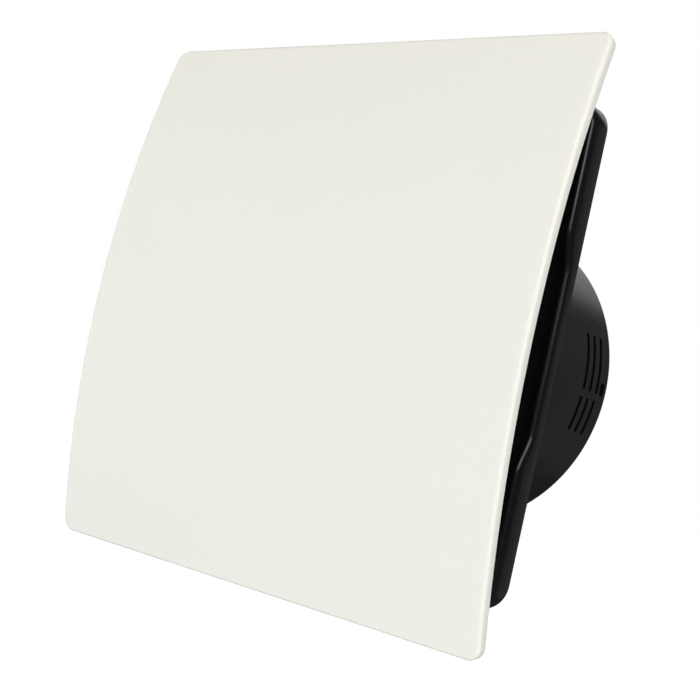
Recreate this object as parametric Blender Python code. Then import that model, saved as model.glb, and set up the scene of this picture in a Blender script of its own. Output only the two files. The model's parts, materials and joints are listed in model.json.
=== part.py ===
"""A wall-mounted bathroom extractor fan with a curved decorative front panel.

Axes: +X to the right and +Z up as seen from the room, +Y into the wall. The origin is on the
axis of the duct, in the plane of the wall that the base frame rests on. Lengths are in metres.
"""

import math

import bmesh
import bpy
from mathutils import Vector

MM = 0.001
GAP = 0.3 * MM  # clearance left between pieces that touch
PRESS = 0.6 * MM  # how far two shapes run into each other before a Boolean union joins them
ROD_PHASE = 0.11
SCREW_BORE_R = 1.5 * MM  # clearance for a 3 mm screw
PILOT_BORE_R = 1.2 * MM  # a bore that such a screw cuts its own thread in

# Front panel: a square plate curved about a horizontal axis
PANEL_SIDE = 187.0 * MM
PANEL_CORNER = 4.4 * MM
PANEL_BULGE = 11.3 * MM
PANEL_THICKNESS = 3.7 * MM
PANEL_EDGE_Y = -29.4 * MM  # front face at the top and bottom edges
PANEL_EDGE_ROUND = 1.3 * MM
PANEL_ROWS = 16

# Base frame: a shallow square tray with its open side to the room
FRAME_SIDE = 161.6 * MM
FRAME_CORNER = 8.8 * MM
FRAME_WALL = 2.2 * MM
FRAME_FLOOR = 2.4 * MM
RIM_HIGH = 8.4 * MM
RIM_LOW = 5.0 * MM
RIM_ROUND = 0.5 * MM
RIM_DIP_INNER = 25.4 * MM  # the rim is low this far to each side of the middle of a side
RIM_DIP_OUTER = 38.6 * MM  # and back at full height here
FIXING_HOLE = (62.0 * MM, 51.0 * MM)
FIXING_SLOT = (4.0 * MM, 8.0 * MM)
THROUGH_FLOOR = (-5.0 * MM, 1.0 * MM)

# Duct spigot: the tube that the fan sits in
SPIGOT_R = 58.5 * MM
SPIGOT_WALL = 2.2 * MM
SPIGOT_LENGTH = 75.0 * MM
LIP_R = 60.9 * MM  # a lip round the tube's front end, held between the frame and the inlet ring
LIP = (-4.6 * MM, -2.7 * MM)

# Inlet ring: a bell mouth that clamps the tube's lip to the frame with four screws
MOUTH_R = 62.3 * MM
MOUTH_DEPTH = 9.0 * MM
MOUTH_START = 33.0  # degrees round the flare where the ring begins and the tube ends
RING_R = 63.0 * MM
RING_SKIRT_R = 61.2 * MM
EAR = (-4.9 * MM, -2.7 * MM)
EAR_END = 69.5 * MM
EAR_HALF_WIDTH = 4.0 * MM
EAR_SCREW_R = 66.0 * MM

# Ventilation slots near the rear end of the tube
SLOT_WIDTH = 1.6 * MM
SLOT_DEPTHS = (58.1 * MM, 62.8 * MM, 67.6 * MM)
SLOT_SPANS = ((-17.2, -4.6), (-2.0, 18.0))  # degrees above the horizontal
SPIGOT_SIDES = 40

# Shutter: two half-disc flaps on one horizontal axle
AXLE_Y = 71.3 * MM
AXLE_R = 1.2 * MM
NOTCH = (2.8 * MM, 4.5 * MM)  # along the duct and around it
FLAP_R = 55.2 * MM
FLAP_THICKNESS = 1.2 * MM
FLAP_ROOT = 2.7 * MM
FLAP_WINDOW = (9.0 * MM, 6.4 * MM)  # half width and depth of the gap in the root for the springs
KNUCKLE_R = 2.3 * MM
KNUCKLE_LENGTH = 12.0 * MM
KNUCKLE_BORE_R = 1.55 * MM
UPPER_KNUCKLE = 42.0 * MM
LOWER_KNUCKLE = 26.0 * MM
AXLE_TAB_END = 57.2 * MM
SEAT = (68.9 * MM, 70.3 * MM)
SEAT_R = 54.4 * MM
SPRING_WIRE_R = 0.3 * MM
SPRING_COIL_R = 1.95 * MM
SPRING_START = 2.2 * MM
SPRING_PITCH = 1.2 * MM
SPRING_TURNS = 3
SPRING_LEG = (13.0 * MM, 3.0 * MM)

# Motor cradle: a cup on three arms
ARM_ANGLES = (105.0, 225.0, 345.0)
ARM_HALF_WIDTH = 3.0 * MM
ARM = (42.0 * MM, 48.0 * MM)
LUG = (36.5 * MM, 41.7 * MM)
LUG_R = 49.5 * MM
CRADLE_SCREW_R = 52.8 * MM
CUP_R = 30.0 * MM
CUP_WALL = 2.0 * MM
CUP = (19.8 * MM, 50.0 * MM)
POST_X = 13.5 * MM
MOTOR_POST_R = 2.7 * MM
MOTOR_BORE_R = 1.6 * MM
SHAFT_HOLE_R = 3.2 * MM

# Shaded-pole motor
CORE = (27.0 * MM, 40.0 * MM)
CORE_HALF_WIDTH = 17.0 * MM
CORE_TOP = 12.5 * MM
CORE_BOTTOM = -20.0 * MM
POLE_BOTTOM = -9.3 * MM
LEG_INNER = 10.3 * MM
YOKE = (-20.0 * MM, -13.5 * MM)
BOBBIN_HALF = 9.8 * MM
BOBBIN_WALL = 1.3 * MM
FLANGE_MARGIN = 3.7 * MM
WINDING_HALF = 8.4 * MM
WINDING_MARGIN = 3.4 * MM
BORE_R = 8.7 * MM
ROTOR_R = 8.3 * MM
SHAFT_R = 1.5 * MM
SHAFT = (-9.5 * MM, 46.6 * MM)
FRONT_STRAP_Y = 23.2 * MM
REAR_STRAP_Y = 43.8 * MM
STRAP_THICKNESS = 1.5 * MM
STRAP_HALF_WIDTH = 5.5 * MM
BEARING_BOSS_R = 5.4 * MM
BEARING_SEAT_R = 3.95 * MM
BEARING = (1.75 * MM, 3.6 * MM)  # bore and outside

# Impeller
HUB_R = 29.0 * MM
BLADE_COUNT = 6
BLADE_TIP_R = 54.6 * MM
BLADE_THICKNESS = 1.6 * MM
BLADE_CHORD = (21.0 * MM, 32.0 * MM)  # at the hub and at the tip
BLADE_STAGGER = (42.0, 58.0)
BLADE_CAMBER = (0.09, 0.07)
BLADE_MIDDLE_Y = (6.6 * MM, 5.4 * MM)

# Panel pegs and their sockets
PEG_XZ = 69.0 * MM
SOCKET_TOP = -14.2 * MM
SOCKET_R = 4.8 * MM
SOCKET_BORE_R = 2.95 * MM
BOSS_END = -17.0 * MM
BOSS_R = 4.5 * MM
BOSS_BORE_R = 2.8 * MM

# Terminal compartment, in the lower left corner of the tray
BAY_X = (-63.5 * MM, -29.5 * MM)
BAY_Z = (-77.5 * MM, -57.5 * MM)
BAY_WALL = 1.6 * MM
BAY_TOP = -8.0 * MM
COVER_TOP = -18.2 * MM
COVER_WALL = 1.5 * MM
BLOCK_X = (-61.4 * MM, -46.6 * MM)
BLOCK_Z = (-75.2 * MM, -60.0 * MM)
BLOCK_Y = (-13.5 * MM, -2.7 * MM)
POLE_X = (-57.8 * MM, -50.2 * MM)
POLE_Z = (-71.4 * MM, -63.8 * MM)
POLE_WELL_R = 2.4 * MM
POLE_SCREW_R = 1.9 * MM
CABLE_ENTRY = (-37.0 * MM, -67.6 * MM)
CABLE_ENTRY_R = 4.0 * MM
CLAMP_X = -42.6 * MM
CLAMP_SCREW_Z = (-74.0 * MM, -61.2 * MM)
CLAMP_POST_R = 1.8 * MM
CLAMP_BAR_Y = (-7.6 * MM, -5.3 * MM)
LEAD_R = 1.5 * MM
LEAD_OFFSET = 5.3 * MM  # the lead runs beside the lower left arm, this far from its middle
LEAD_Y = 45.0 * MM
LEAD_HOLE_R = 65.4 * MM  # how far out along the arm the lead comes through the tray's floor
LEAD_TUBE_R = 60.3 * MM  # and how far out it runs along the tube

# Colour, roughness and metallic value of each finish
FINISHES = {
    "gloss_white": ((0.84, 0.84, 0.78), 0.12, 0.0),
    "black_plastic": ((0.02, 0.02, 0.022), 0.38, 0.0),
    "grey_plastic": ((0.09, 0.09, 0.10), 0.45, 0.0),
    "pale_plastic": ((0.75, 0.74, 0.70), 0.5, 0.0),
    "steel": ((0.55, 0.55, 0.56), 0.3, 1.0),
    "lamination": ((0.28, 0.28, 0.29), 0.5, 1.0),
    "copper": ((0.72, 0.34, 0.16), 0.35, 1.0),
    "bronze": ((0.60, 0.42, 0.22), 0.45, 1.0),
    "rubber": ((0.03, 0.03, 0.03), 0.8, 0.0),
}


def clear_scene():
    for obj in list(bpy.data.objects):
        bpy.data.objects.remove(obj)


def material(name, finish):
    colour, roughness, metallic = FINISHES[finish]
    made = bpy.data.materials.new(name)
    made.use_nodes = True
    shader = made.node_tree.nodes["Principled BSDF"]
    shader.inputs["Base Color"].default_value = (*colour, 1.0)
    shader.inputs["Roughness"].default_value = roughness
    shader.inputs["Metallic"].default_value = metallic
    return made


def put_in_scene(name, data, finish):
    obj = bpy.data.objects.new(name, data)
    bpy.context.scene.collection.objects.link(obj)
    if finish:
        data.materials.append(material(name, finish))
    return obj


def solid(name, bm, finish=None):
    """Makes an object of a closed bmesh. Without a finish it is a guide for a Boolean."""
    bmesh.ops.recalc_face_normals(bm, faces=bm.faces)
    mesh = bpy.data.meshes.new(name)
    bm.to_mesh(mesh)
    bm.free()
    mesh.shade_smooth()
    mesh.set_sharp_from_angle(angle=math.radians(35))
    return put_in_scene(name, mesh, finish)


def bridge(bm, ring_a, ring_b):
    """Faces between two rings of vertices; a ring of one vertex is a point on the axis."""
    count = max(len(ring_a), len(ring_b))
    for i in range(count):
        j = (i + 1) % count
        corners = [ring_a[i % len(ring_a)], ring_a[j % len(ring_a)]]
        corners += [ring_b[j % len(ring_b)], ring_b[i % len(ring_b)]]
        face = list(dict.fromkeys(corners))
        if len(face) > 2:
            bm.faces.new(face)


def add_loft(bm, rings):
    """A closed skin through rings of points, with a flat cap at each end."""
    loops = [[bm.verts.new(point) for point in ring] for ring in rings]
    for near, far in zip(loops, loops[1:]):
        bridge(bm, near, far)
    bm.faces.new(loops[0])
    bm.faces.new(loops[-1])


def lofted(name, rings, finish=None):
    bm = bmesh.new()
    add_loft(bm, rings)
    return solid(name, bm, finish)


def turned(name, profile, sides, finish=None, centre=(0.0, 0.0), phase=0.0):
    """A solid of revolution about +Y: a closed profile of (radius, depth) round centre (x, z)."""
    bm = bmesh.new()
    rings = []
    for radius, depth in profile:
        if radius == 0.0:
            rings.append([bm.verts.new((centre[0], depth, centre[1]))])
            continue
        ring = []
        for i in range(sides):
            angle = phase + 2 * math.pi * i / sides
            x = centre[0] + radius * math.cos(angle)
            z = centre[1] + radius * math.sin(angle)
            ring.append(bm.verts.new((x, depth, z)))
        rings.append(ring)
    for near, far in zip(rings, rings[1:] + rings[:1]):
        if len(near) > 1 or len(far) > 1:
            bridge(bm, near, far)
    return solid(name, bm, finish)


def extruded(name, outline, span, axis, finish=None):
    """A straight solid: an outline in the other two axes, between two places along axis."""
    rings = []
    for place in span:
        ring = []
        for point in outline:
            coords = list(point)
            coords.insert("XYZ".index(axis), place)
            ring.append(tuple(coords))
        rings.append(ring)
    return lofted(name, rings, finish)


def block(name, x, y, z, finish=None):
    outline = [(x[0], z[0]), (x[1], z[0]), (x[1], z[1]), (x[0], z[1])]
    return extruded(name, outline, y, "Y", finish)


def rod(name, radius, span, centre=(0.0, 0.0), sides=12, finish=None):
    """A plain round bar along Y, turned a little so that its edges miss those of the piece it meets."""
    near, far = span
    profile = [(0.0, near), (radius, near), (radius, far), (0.0, far)]
    return turned(name, profile, sides, finish, centre, ROD_PHASE)


def cross_rod(name, radius, span, centre, sides=16, finish=None):
    """A plain round bar along X; centre is its (y, z)."""
    outline = []
    for i in range(sides):
        angle = 2 * math.pi * i / sides
        outline.append((centre[0] + radius * math.cos(angle), centre[1] + radius * math.sin(angle)))
    return extruded(name, outline, span, "X", finish)


def boolean(target, tools, operation):
    """Joins or cuts the target with tools that are clear of each other, as one hidden guide."""
    bm = bmesh.new()
    for tool in tools:
        tool.data.transform(tool.matrix_basis)
        bm.from_mesh(tool.data)
        bpy.data.objects.remove(tool)
    guide = solid(f"{target.name}_{operation.lower()}_{len(target.modifiers)}", bm)
    guide.hide_render = True
    guide.display_type = "WIRE"
    modifier = target.modifiers.new(guide.name, "BOOLEAN")
    modifier.operation = operation
    modifier.solver = "EXACT"
    modifier.object = guide


def join(target, *tools):
    boolean(target, tools, "UNION")


def cut(target, *tools):
    boolean(target, tools, "DIFFERENCE")


def bevel(obj, width, segments=1):
    modifier = obj.modifiers.new("edge", "BEVEL")
    modifier.width = width
    modifier.segments = segments
    modifier.limit_method = "ANGLE"
    modifier.angle_limit = math.radians(50)


def turn_about_duct(obj, degrees):
    """Turns an object about the duct axis, from +X towards +Z."""
    obj.rotation_euler = (0.0, -math.radians(degrees), 0.0)


def smooth_step(value):
    value = min(max(value, 0.0), 1.0)
    return value * value * (3 - 2 * value)


def tube(name, route, radius, finish, resolution=2):
    """A round wire along a route of points, with closed ends."""
    curve = bpy.data.curves.new(name, "CURVE")
    curve.dimensions = "3D"
    curve.bevel_depth = radius
    curve.bevel_resolution = resolution
    curve.use_fill_caps = True
    spline = curve.splines.new("POLY")
    spline.points.add(len(route) - 1)
    for point, place in zip(spline.points, route):
        point.co = (*place, 1.0)
    return put_in_scene(name, curve, finish)


# Front panel ---------------------------------------------------------------------------------


def panel_radius():
    half = PANEL_SIDE / 2
    return (PANEL_BULGE**2 + half**2) / (2 * PANEL_BULGE)


def panel_point(x, z, depth):
    """A point of the panel: z is measured along its front face, depth from that face inwards."""
    radius = panel_radius()
    centre_y = PANEL_EDGE_Y + radius - PANEL_BULGE
    angle = math.asin(z / radius)
    return (x, centre_y - (radius - depth) * math.cos(angle), (radius - depth) * math.sin(angle))


def panel_row(half_width, z, inset):
    """One row across the plate: a slim rectangle with its long edges broken."""
    edge = PANEL_EDGE_ROUND
    front, back = inset, PANEL_THICKNESS - inset
    section = [
        (half_width - edge, front),
        (half_width - edge * 0.3, front + edge * 0.3),
        (half_width, front + edge),
        (half_width, back - edge * 0.6),
        (half_width - edge * 0.6, back),
    ]
    mirrored = [(-x, depth) for x, depth in reversed(section)]
    return [panel_point(x, z, depth) for x, depth in section + mirrored]


def make_front_panel():
    half = PANEL_SIDE / 2
    straight = half - PANEL_CORNER
    rows = []
    for side in (-1, 1):
        corner = [(PANEL_CORNER * math.cos(math.radians(a)), PANEL_CORNER * math.sin(math.radians(a)))
                  for a in (80, 60, 40, 20)]
        stations = [(straight + x - PANEL_EDGE_ROUND * (i == 0), straight + z)
                    for i, (x, z) in enumerate(corner)]
        insets = [PANEL_EDGE_ROUND * share for share in (0.5, 0.1, 0.0, 0.0)]
        ends = [panel_row(w, side * z, inset) for (w, z), inset in zip(stations, insets)]
        rows.append(ends if side < 0 else list(reversed(ends)))
    middle = [panel_row(half, -straight + 2 * straight * i / PANEL_ROWS, 0.0)
              for i in range(PANEL_ROWS + 1)]
    panel = lofted("front_panel", rows[0] + middle + rows[1], "gloss_white")
    inside = panel_point(0.0, PEG_XZ, PANEL_THICKNESS)[1] - 1.8 * MM
    join(panel, *[rod("boss", BOSS_R, (inside, BOSS_END), place) for place in peg_places()])
    bore = (BOSS_END - 7 * MM, BOSS_END + MM)
    cut(panel, *[rod("bore", BOSS_BORE_R, bore, place) for place in peg_places()])


def peg_places():
    return [(x, z) for z in (PEG_XZ, -PEG_XZ) for x in (-PEG_XZ, PEG_XZ)]


def make_panel_pegs():
    """Split snap pegs: the upper end sits in the panel's boss, the bulb in the tray's socket."""
    profile = [
        (0.0, BOSS_END - 6.4 * MM),
        (2.5 * MM, BOSS_END - 6.4 * MM),
        (2.5 * MM, BOSS_END + GAP),
        (4.0 * MM, BOSS_END + GAP),
        (4.0 * MM, BOSS_END + 1.5 * MM),
        (2.2 * MM, BOSS_END + 1.5 * MM),
        (2.0 * MM, BOSS_END + 7.6 * MM),
        (2.6 * MM, BOSS_END + 9.0 * MM),
        (1.4 * MM, BOSS_END + 10.8 * MM),
        (0.0, BOSS_END + 10.8 * MM),
    ]
    for number, (x, z) in enumerate(peg_places(), 1):
        peg = turned(f"panel_peg_{number}", profile, 10, "black_plastic", (x, z), ROD_PHASE)
        slit = block("slit", (x - 0.4 * MM, x + 0.4 * MM), (BOSS_END + 3 * MM, BOSS_END + 12 * MM),
                     (z - 4 * MM, z + 4 * MM))
        cut(peg, slit)


# Base frame ----------------------------------------------------------------------------------


def rim_height(along):
    share = smooth_step((abs(along) - RIM_DIP_INNER) / (RIM_DIP_OUTER - RIM_DIP_INNER))
    return RIM_LOW + (RIM_HIGH - RIM_LOW) * share


def frame_loop(inset, depth):
    """A loop round the frame, inset from its outside. depth gives y from the rim height."""
    half = FRAME_SIDE / 2 - inset
    radius = FRAME_CORNER - inset
    straight = half - radius
    steps = [RIM_DIP_INNER + (RIM_DIP_OUTER - RIM_DIP_INNER) * i / 4 for i in range(5)]
    stops = [-step for step in reversed(steps)] + steps
    loop = []
    for quarter in range(4):
        turn = quarter * math.pi / 2
        points = [(half, stop, rim_height(stop)) for stop in stops]
        for i in range(5):
            angle = math.radians(22.5 * i)
            points.append((straight + radius * math.cos(angle),
                           straight + radius * math.sin(angle), RIM_HIGH))
        for u, v, height in points:
            x = u * math.cos(turn) - v * math.sin(turn)
            z = u * math.sin(turn) + v * math.cos(turn)
            loop.append((x, depth(height), z))
    return loop


def make_base_frame():
    loops = [
        frame_loop(0.0, lambda height: 0.0),
        frame_loop(0.0, lambda height: RIM_ROUND - height),
        frame_loop(RIM_ROUND, lambda height: -height),
        frame_loop(FRAME_WALL - RIM_ROUND, lambda height: -height),
        frame_loop(FRAME_WALL, lambda height: RIM_ROUND - height),
        frame_loop(FRAME_WALL, lambda height: -FRAME_FLOOR),
    ]
    frame = lofted("base_frame", loops, "black_plastic")
    floor_top = -FRAME_FLOOR + PRESS
    sockets = [rod("socket", SOCKET_R, (SOCKET_TOP, floor_top), place) for place in peg_places()]
    clamp_posts = [rod("post", CLAMP_POST_R, (-5 * MM, floor_top), (CLAMP_X, z))
                   for z in CLAMP_SCREW_Z]
    join(frame, bay_wall(floor_top), *sockets, *clamp_posts)
    cut(frame, *frame_holes())


def bay_wall(floor_top):
    """A low wall round the terminal compartment."""
    bm = bmesh.new()
    loops = []
    for inset, depth in ((0, floor_top), (0, BAY_TOP), (BAY_WALL, BAY_TOP), (BAY_WALL, floor_top)):
        x = (BAY_X[0] + inset, BAY_X[1] - inset)
        z = (BAY_Z[0] + inset, BAY_Z[1] - inset)
        corners = ((x[0], z[0]), (x[1], z[0]), (x[1], z[1]), (x[0], z[1]))
        loops.append([bm.verts.new((across, depth, up)) for across, up in corners])
    for near, far in zip(loops, loops[1:] + loops[:1]):
        bridge(bm, near, far)
    return solid("bay_wall", bm)


def frame_holes():
    holes = [rod("duct_hole", SPIGOT_R + GAP, (-20 * MM, 5 * MM), sides=SPIGOT_SIDES)]
    socket_bore = (SOCKET_TOP - MM, -3 * MM)
    holes += [rod("socket_bore", SOCKET_BORE_R, socket_bore, place) for place in peg_places()]
    half_width, half_length = FIXING_SLOT[0] / 2, FIXING_SLOT[1] / 2
    for side_x, side_z in ((-1, -1), (1, -1), (1, 1), (-1, 1)):
        x, z = side_x * FIXING_HOLE[0], side_z * FIXING_HOLE[1]
        holes.append(block("fixing_slot", (x - half_width, x + half_width), THROUGH_FLOOR,
                           (z - half_length, z + half_length)))
    for quarter in range(4):
        hole = rod("ear_hole", SCREW_BORE_R, THROUGH_FLOOR, (EAR_SCREW_R, 0.0), 10)
        turn_about_duct(hole, 90 * quarter)
        holes.append(hole)
    holes += [rod("post_bore", PILOT_BORE_R, (-6 * MM, -2 * MM), (CLAMP_X, z), 8)
              for z in CLAMP_SCREW_Z]
    holes.append(rod("cable_hole", CABLE_ENTRY_R, THROUGH_FLOOR, CABLE_ENTRY))
    holes.append(rod("lead_hole", LEAD_R + 0.8 * MM, THROUGH_FLOOR, beside_arm(LEAD_HOLE_R), 12))
    x, _, z = lead_route()[1]
    holes.append(block("lead_notch", (x - 2.2 * MM, x + 2.2 * MM), (BAY_TOP - MM, -3 * MM),
                       (z - 2.5 * MM, z + 2.5 * MM)))
    return holes


# Duct spigot ---------------------------------------------------------------------------------


def sector(name, angles, depths):
    """A cutter that goes through the tube's wall, between two angles and two depths."""
    inner, outer = SPIGOT_R - SPIGOT_WALL - 2.0 * MM, SPIGOT_R + 2.0 * MM
    steps = 4
    arc = [math.radians(angles[0] + (angles[1] - angles[0]) * i / steps) for i in range(steps + 1)]
    outline = [(inner * math.cos(a), inner * math.sin(a)) for a in arc]
    outline += [(outer * math.cos(a), outer * math.sin(a)) for a in reversed(arc)]
    return extruded(name, outline, depths, "Y")


def flare_point(degrees):
    """A point (r, y) of the bell mouth: 0 degrees is in the tube, 90 at the mouth's front."""
    angle = math.radians(degrees)
    flare = MOUTH_R - (SPIGOT_R - SPIGOT_WALL)
    return (MOUTH_R - flare * math.cos(angle), -MOUTH_DEPTH * math.sin(angle))


def make_duct_spigot():
    inner = SPIGOT_R - SPIGOT_WALL
    profile = [(inner, SEAT[0]), (SEAT_R, SEAT[0]), (SEAT_R, SEAT[1]), (inner, SEAT[1])]
    profile += [(inner, SPIGOT_LENGTH), (SPIGOT_R, SPIGOT_LENGTH), (SPIGOT_R, LIP[1])]
    profile += [(LIP_R, LIP[1]), (LIP_R, LIP[0]), (flare_point(MOUTH_START)[0], LIP[0])]
    profile += [flare_point(14), flare_point(0)]
    spigot = turned("duct_spigot", profile, SPIGOT_SIDES, "black_plastic")
    half = ARM_HALF_WIDTH
    lugs, holes = [], spigot_slots()
    for angle in ARM_ANGLES:
        lug = block("lug", (LUG_R, inner + PRESS), LUG, (-half, half))
        bore = rod("lug_bore", SCREW_BORE_R, (38 * MM, 43 * MM), (CRADLE_SCREW_R, 0.0), 10)
        for tool in (lug, bore):
            turn_about_duct(tool, angle)
        lugs.append(lug)
        holes.append(bore)
    join(spigot, *lugs)
    cut(spigot, *holes)


def make_inlet_ring():
    profile = [flare_point(degrees) for degrees in (MOUTH_START, 45, 60, 75, 90)]
    profile += [(RING_R, -MOUTH_DEPTH + 0.7 * MM), (RING_R, EAR[1]), (RING_SKIRT_R, EAR[1]),
                (RING_SKIRT_R, LIP[0] - GAP), (profile[0][0], LIP[0] - GAP)]
    ring = turned("inlet_ring", profile[1:], SPIGOT_SIDES, "black_plastic")
    half = EAR_HALF_WIDTH
    ears, holes = [], []
    for quarter in range(4):
        ear = block("ear", (RING_R - PRESS, EAR_END), EAR, (-half, half))
        bore = rod("ear_bore", SCREW_BORE_R, (-7 * MM, 0.0), (EAR_SCREW_R, 0.0), 10)
        for tool in (ear, bore):
            turn_about_duct(tool, 90 * quarter)
        ears.append(ear)
        holes.append(bore)
    join(ring, *ears)
    cut(ring, *holes)


def spigot_slots():
    """Narrow slots and the axle's notch near the rear rim, right and left, and the lead's window."""
    half = SLOT_WIDTH / 2
    notch_half_angle = math.degrees(NOTCH[1] / 2 / SPIGOT_R)
    notch_depths = (AXLE_Y - NOTCH[0] / 2, AXLE_Y + NOTCH[0] / 2)
    holes = []
    for side in (0, 180):
        for depth in SLOT_DEPTHS:
            for low, high in SLOT_SPANS:
                angles = (low, high) if side == 0 else (side - high, side - low)
                holes.append(sector("slot", angles, (depth - half, depth + half)))
        angles = (side - notch_half_angle, side + notch_half_angle)
        holes.append(sector("notch", angles, notch_depths))
    x, z = beside_arm(57.0 * MM)
    holes.append(block("lead_window", (x - 4 * MM, x + 4 * MM), (LEAD_Y - 2.2 * MM, LEAD_Y + 2.2 * MM),
                       (z - 2.2 * MM, z + 2.2 * MM)))
    return holes


# Motor cradle and motor ----------------------------------------------------------------------


def make_motor_cradle():
    near, far = CUP
    inner = CUP_R - CUP_WALL
    profile = [(0.0, far), (CUP_R - 3 * MM, far), (CUP_R, far - 3 * MM), (CUP_R, near),
               (inner, near), (inner, far - CUP_WALL), (0.0, far - CUP_WALL)]
    cradle = turned("motor_cradle", profile, 28, "black_plastic")
    half = ARM_HALF_WIDTH
    additions, holes = [], []
    for angle in ARM_ANGLES:
        arm = block("arm", (inner + PRESS, SPIGOT_R - SPIGOT_WALL - 0.5 * MM), ARM, (-half, half))
        bore = rod("arm_bore", SCREW_BORE_R, (41 * MM, 49 * MM), (CRADLE_SCREW_R, 0.0), 10)
        for tool in (arm, bore):
            turn_about_duct(tool, angle)
        additions.append(arm)
        holes.append(bore)
    post = (42.1 * MM, far - CUP_WALL + PRESS)
    for x in (-POST_X, POST_X):
        additions.append(rod("motor_post", MOTOR_POST_R, post, (x, 0.0), 12))
        holes.append(rod("post_bore", MOTOR_BORE_R, (41 * MM, 47 * MM), (x, 0.0), 10))
    x, z = beside_arm(28.2 * MM)
    holes.append(block("lead_window", (x - 3.4 * MM, x + 2.2 * MM),
                       (LEAD_Y - 2.0 * MM, LEAD_Y + 2.0 * MM), (z - 3.4 * MM, z + 2.2 * MM)))
    join(cradle, *additions)
    cut(cradle, *holes)


def make_motor_cap():
    """The lid on the front of the cup, with a hole for the shaft."""
    near = CUP[0]
    lip = CUP_R - CUP_WALL - GAP
    profile = [(SHAFT_HOLE_R, near - 1.9 * MM), (CUP_R - 0.8 * MM, near - 1.9 * MM),
               (CUP_R, near - GAP), (lip, near - GAP), (lip, near + 1.8 * MM),
               (lip - 1.4 * MM, near + 1.8 * MM), (lip - 1.4 * MM, near - GAP),
               (SHAFT_HOLE_R, near - GAP)]
    turned("motor_cap", profile, 28, "black_plastic")


def make_stator():
    w, leg = CORE_HALF_WIDTH, LEG_INNER
    outline = [(-w, CORE_BOTTOM), (-leg, CORE_BOTTOM), (-leg, POLE_BOTTOM), (leg, POLE_BOTTOM),
               (leg, CORE_BOTTOM), (w, CORE_BOTTOM), (w, CORE_TOP - 5 * MM), (w - 5 * MM, CORE_TOP),
               (-w + 5 * MM, CORE_TOP), (-w, CORE_TOP - 5 * MM)]
    core = extruded("stator_core", outline, CORE, "Y", "lamination")
    cut(core, rod("rotor_bore", BORE_R, (20 * MM, 50 * MM), sides=24), *motor_screw_bores())
    block("stator_yoke", (-leg + GAP, leg - GAP), CORE, YOKE, "lamination")
    make_coil()


def motor_screw_bores():
    return [rod("screw_bore", MOTOR_BORE_R, (15 * MM, 50 * MM), (x, 0.0), 10) for x in (-POST_X, POST_X)]


def rectangle_round_yoke(margin):
    """The (y, z) outline of a rectangle round the yoke, this much larger on every side."""
    y0, y1 = CORE[0] - margin, CORE[1] + margin
    z0, z1 = YOKE[0] - margin, YOKE[1] + margin
    return [(y0, z0), (y1, z0), (y1, z1), (y0, z1)]


def make_coil():
    end = BOBBIN_HALF
    bobbin = extruded("coil_bobbin", rectangle_round_yoke(BOBBIN_WALL), (-end, end), "X", "pale_plastic")
    spans = ((-end, MM - end), (end - MM, end))
    join(bobbin, *[extruded("flange", rectangle_round_yoke(FLANGE_MARGIN), span, "X") for span in spans])
    cut(bobbin, extruded("bobbin_hole", rectangle_round_yoke(GAP), (-end - MM, end + MM), "X"))
    winding = extruded("coil_winding", rectangle_round_yoke(WINDING_MARGIN),
                       (-WINDING_HALF, WINDING_HALF), "X", "copper")
    bevel(winding, 1.2 * MM)
    hollow = extruded("winding_hole", rectangle_round_yoke(BOBBIN_WALL + GAP),
                      (-WINDING_HALF - PRESS, WINDING_HALF + PRESS), "X")
    cut(winding, hollow)


def make_bracket(name, feet, strap):
    """A bearing bridge: a strap over the rotor on two feet, with a boss for the bearing."""
    outward = 1 if strap > feet else -1
    foot_top, strap_top = feet + outward * STRAP_THICKNESS, strap + outward * STRAP_THICKNESS
    inner, outer = 8.4 * MM, 8.4 * MM + STRAP_THICKNESS
    right = [(outer, strap_top), (outer, foot_top), (CORE_HALF_WIDTH - MM, foot_top),
             (CORE_HALF_WIDTH - MM, feet), (inner, feet), (inner, strap)]
    left = [(-x, y) for x, y in reversed(right)]
    bracket = extruded(name, right + left, (-STRAP_HALF_WIDTH, STRAP_HALF_WIDTH), "Z", "steel")
    depths = sorted((strap - outward * 1.2 * MM, strap + outward * 3.6 * MM))
    join(bracket, rod("boss", BEARING_BOSS_R, depths))
    bore = rod("bearing_bore", BEARING_SEAT_R, (depths[0] - MM, depths[1] + MM))
    cut(bracket, bore, *motor_screw_bores())
    return depths


def make_bearing(name, depths):
    near, far = depths[0] + 0.4 * MM, depths[1] - 0.4 * MM
    bore, outside = BEARING
    profile = [(bore, near), (outside, near), (outside, far), (bore, far)]
    turned(name, profile, 16, "bronze")


def screw(name, place, head_y, tip_y, finish="steel", head_r=2.5 * MM, shank_r=1.15 * MM):
    """A pan-head screw along Y: its head is at head_y and its shank ends at tip_y."""
    outward = -1 if head_y < tip_y else 1
    top = head_y + outward * head_r * 0.65
    profile = [(0.0, top), (head_r * 0.75, top), (head_r, head_y), (shank_r, head_y),
               (shank_r, tip_y), (0.0, tip_y)]
    return turned(name, profile, 8, finish, place)


def make_motor():
    make_stator()
    front = make_bracket("front_bracket", CORE[0] - GAP, FRONT_STRAP_Y)
    rear = make_bracket("rear_bracket", CORE[1] + GAP, REAR_STRAP_Y)
    make_bearing("front_bearing", front)
    make_bearing("rear_bearing", rear)
    for number, x in enumerate((-POST_X, POST_X), 1):
        screw(f"motor_screw_{number}", (x, 0.0), CORE[0] - 2.2 * MM, 46.0 * MM)
    near, far = CORE[0] + GAP, CORE[1] - GAP
    profile = [(1.8 * MM, near - 1.2 * MM), (6.8 * MM, near - 1.2 * MM), (7.2 * MM, near),
               (ROTOR_R, near), (ROTOR_R, far), (7.2 * MM, far), (6.8 * MM, far + 1.2 * MM),
               (1.8 * MM, far + 1.2 * MM)]
    turned("rotor", profile, 20, "lamination")
    rod("motor_shaft", SHAFT_R, SHAFT, sides=16, finish="steel")


# Impeller ------------------------------------------------------------------------------------


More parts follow.
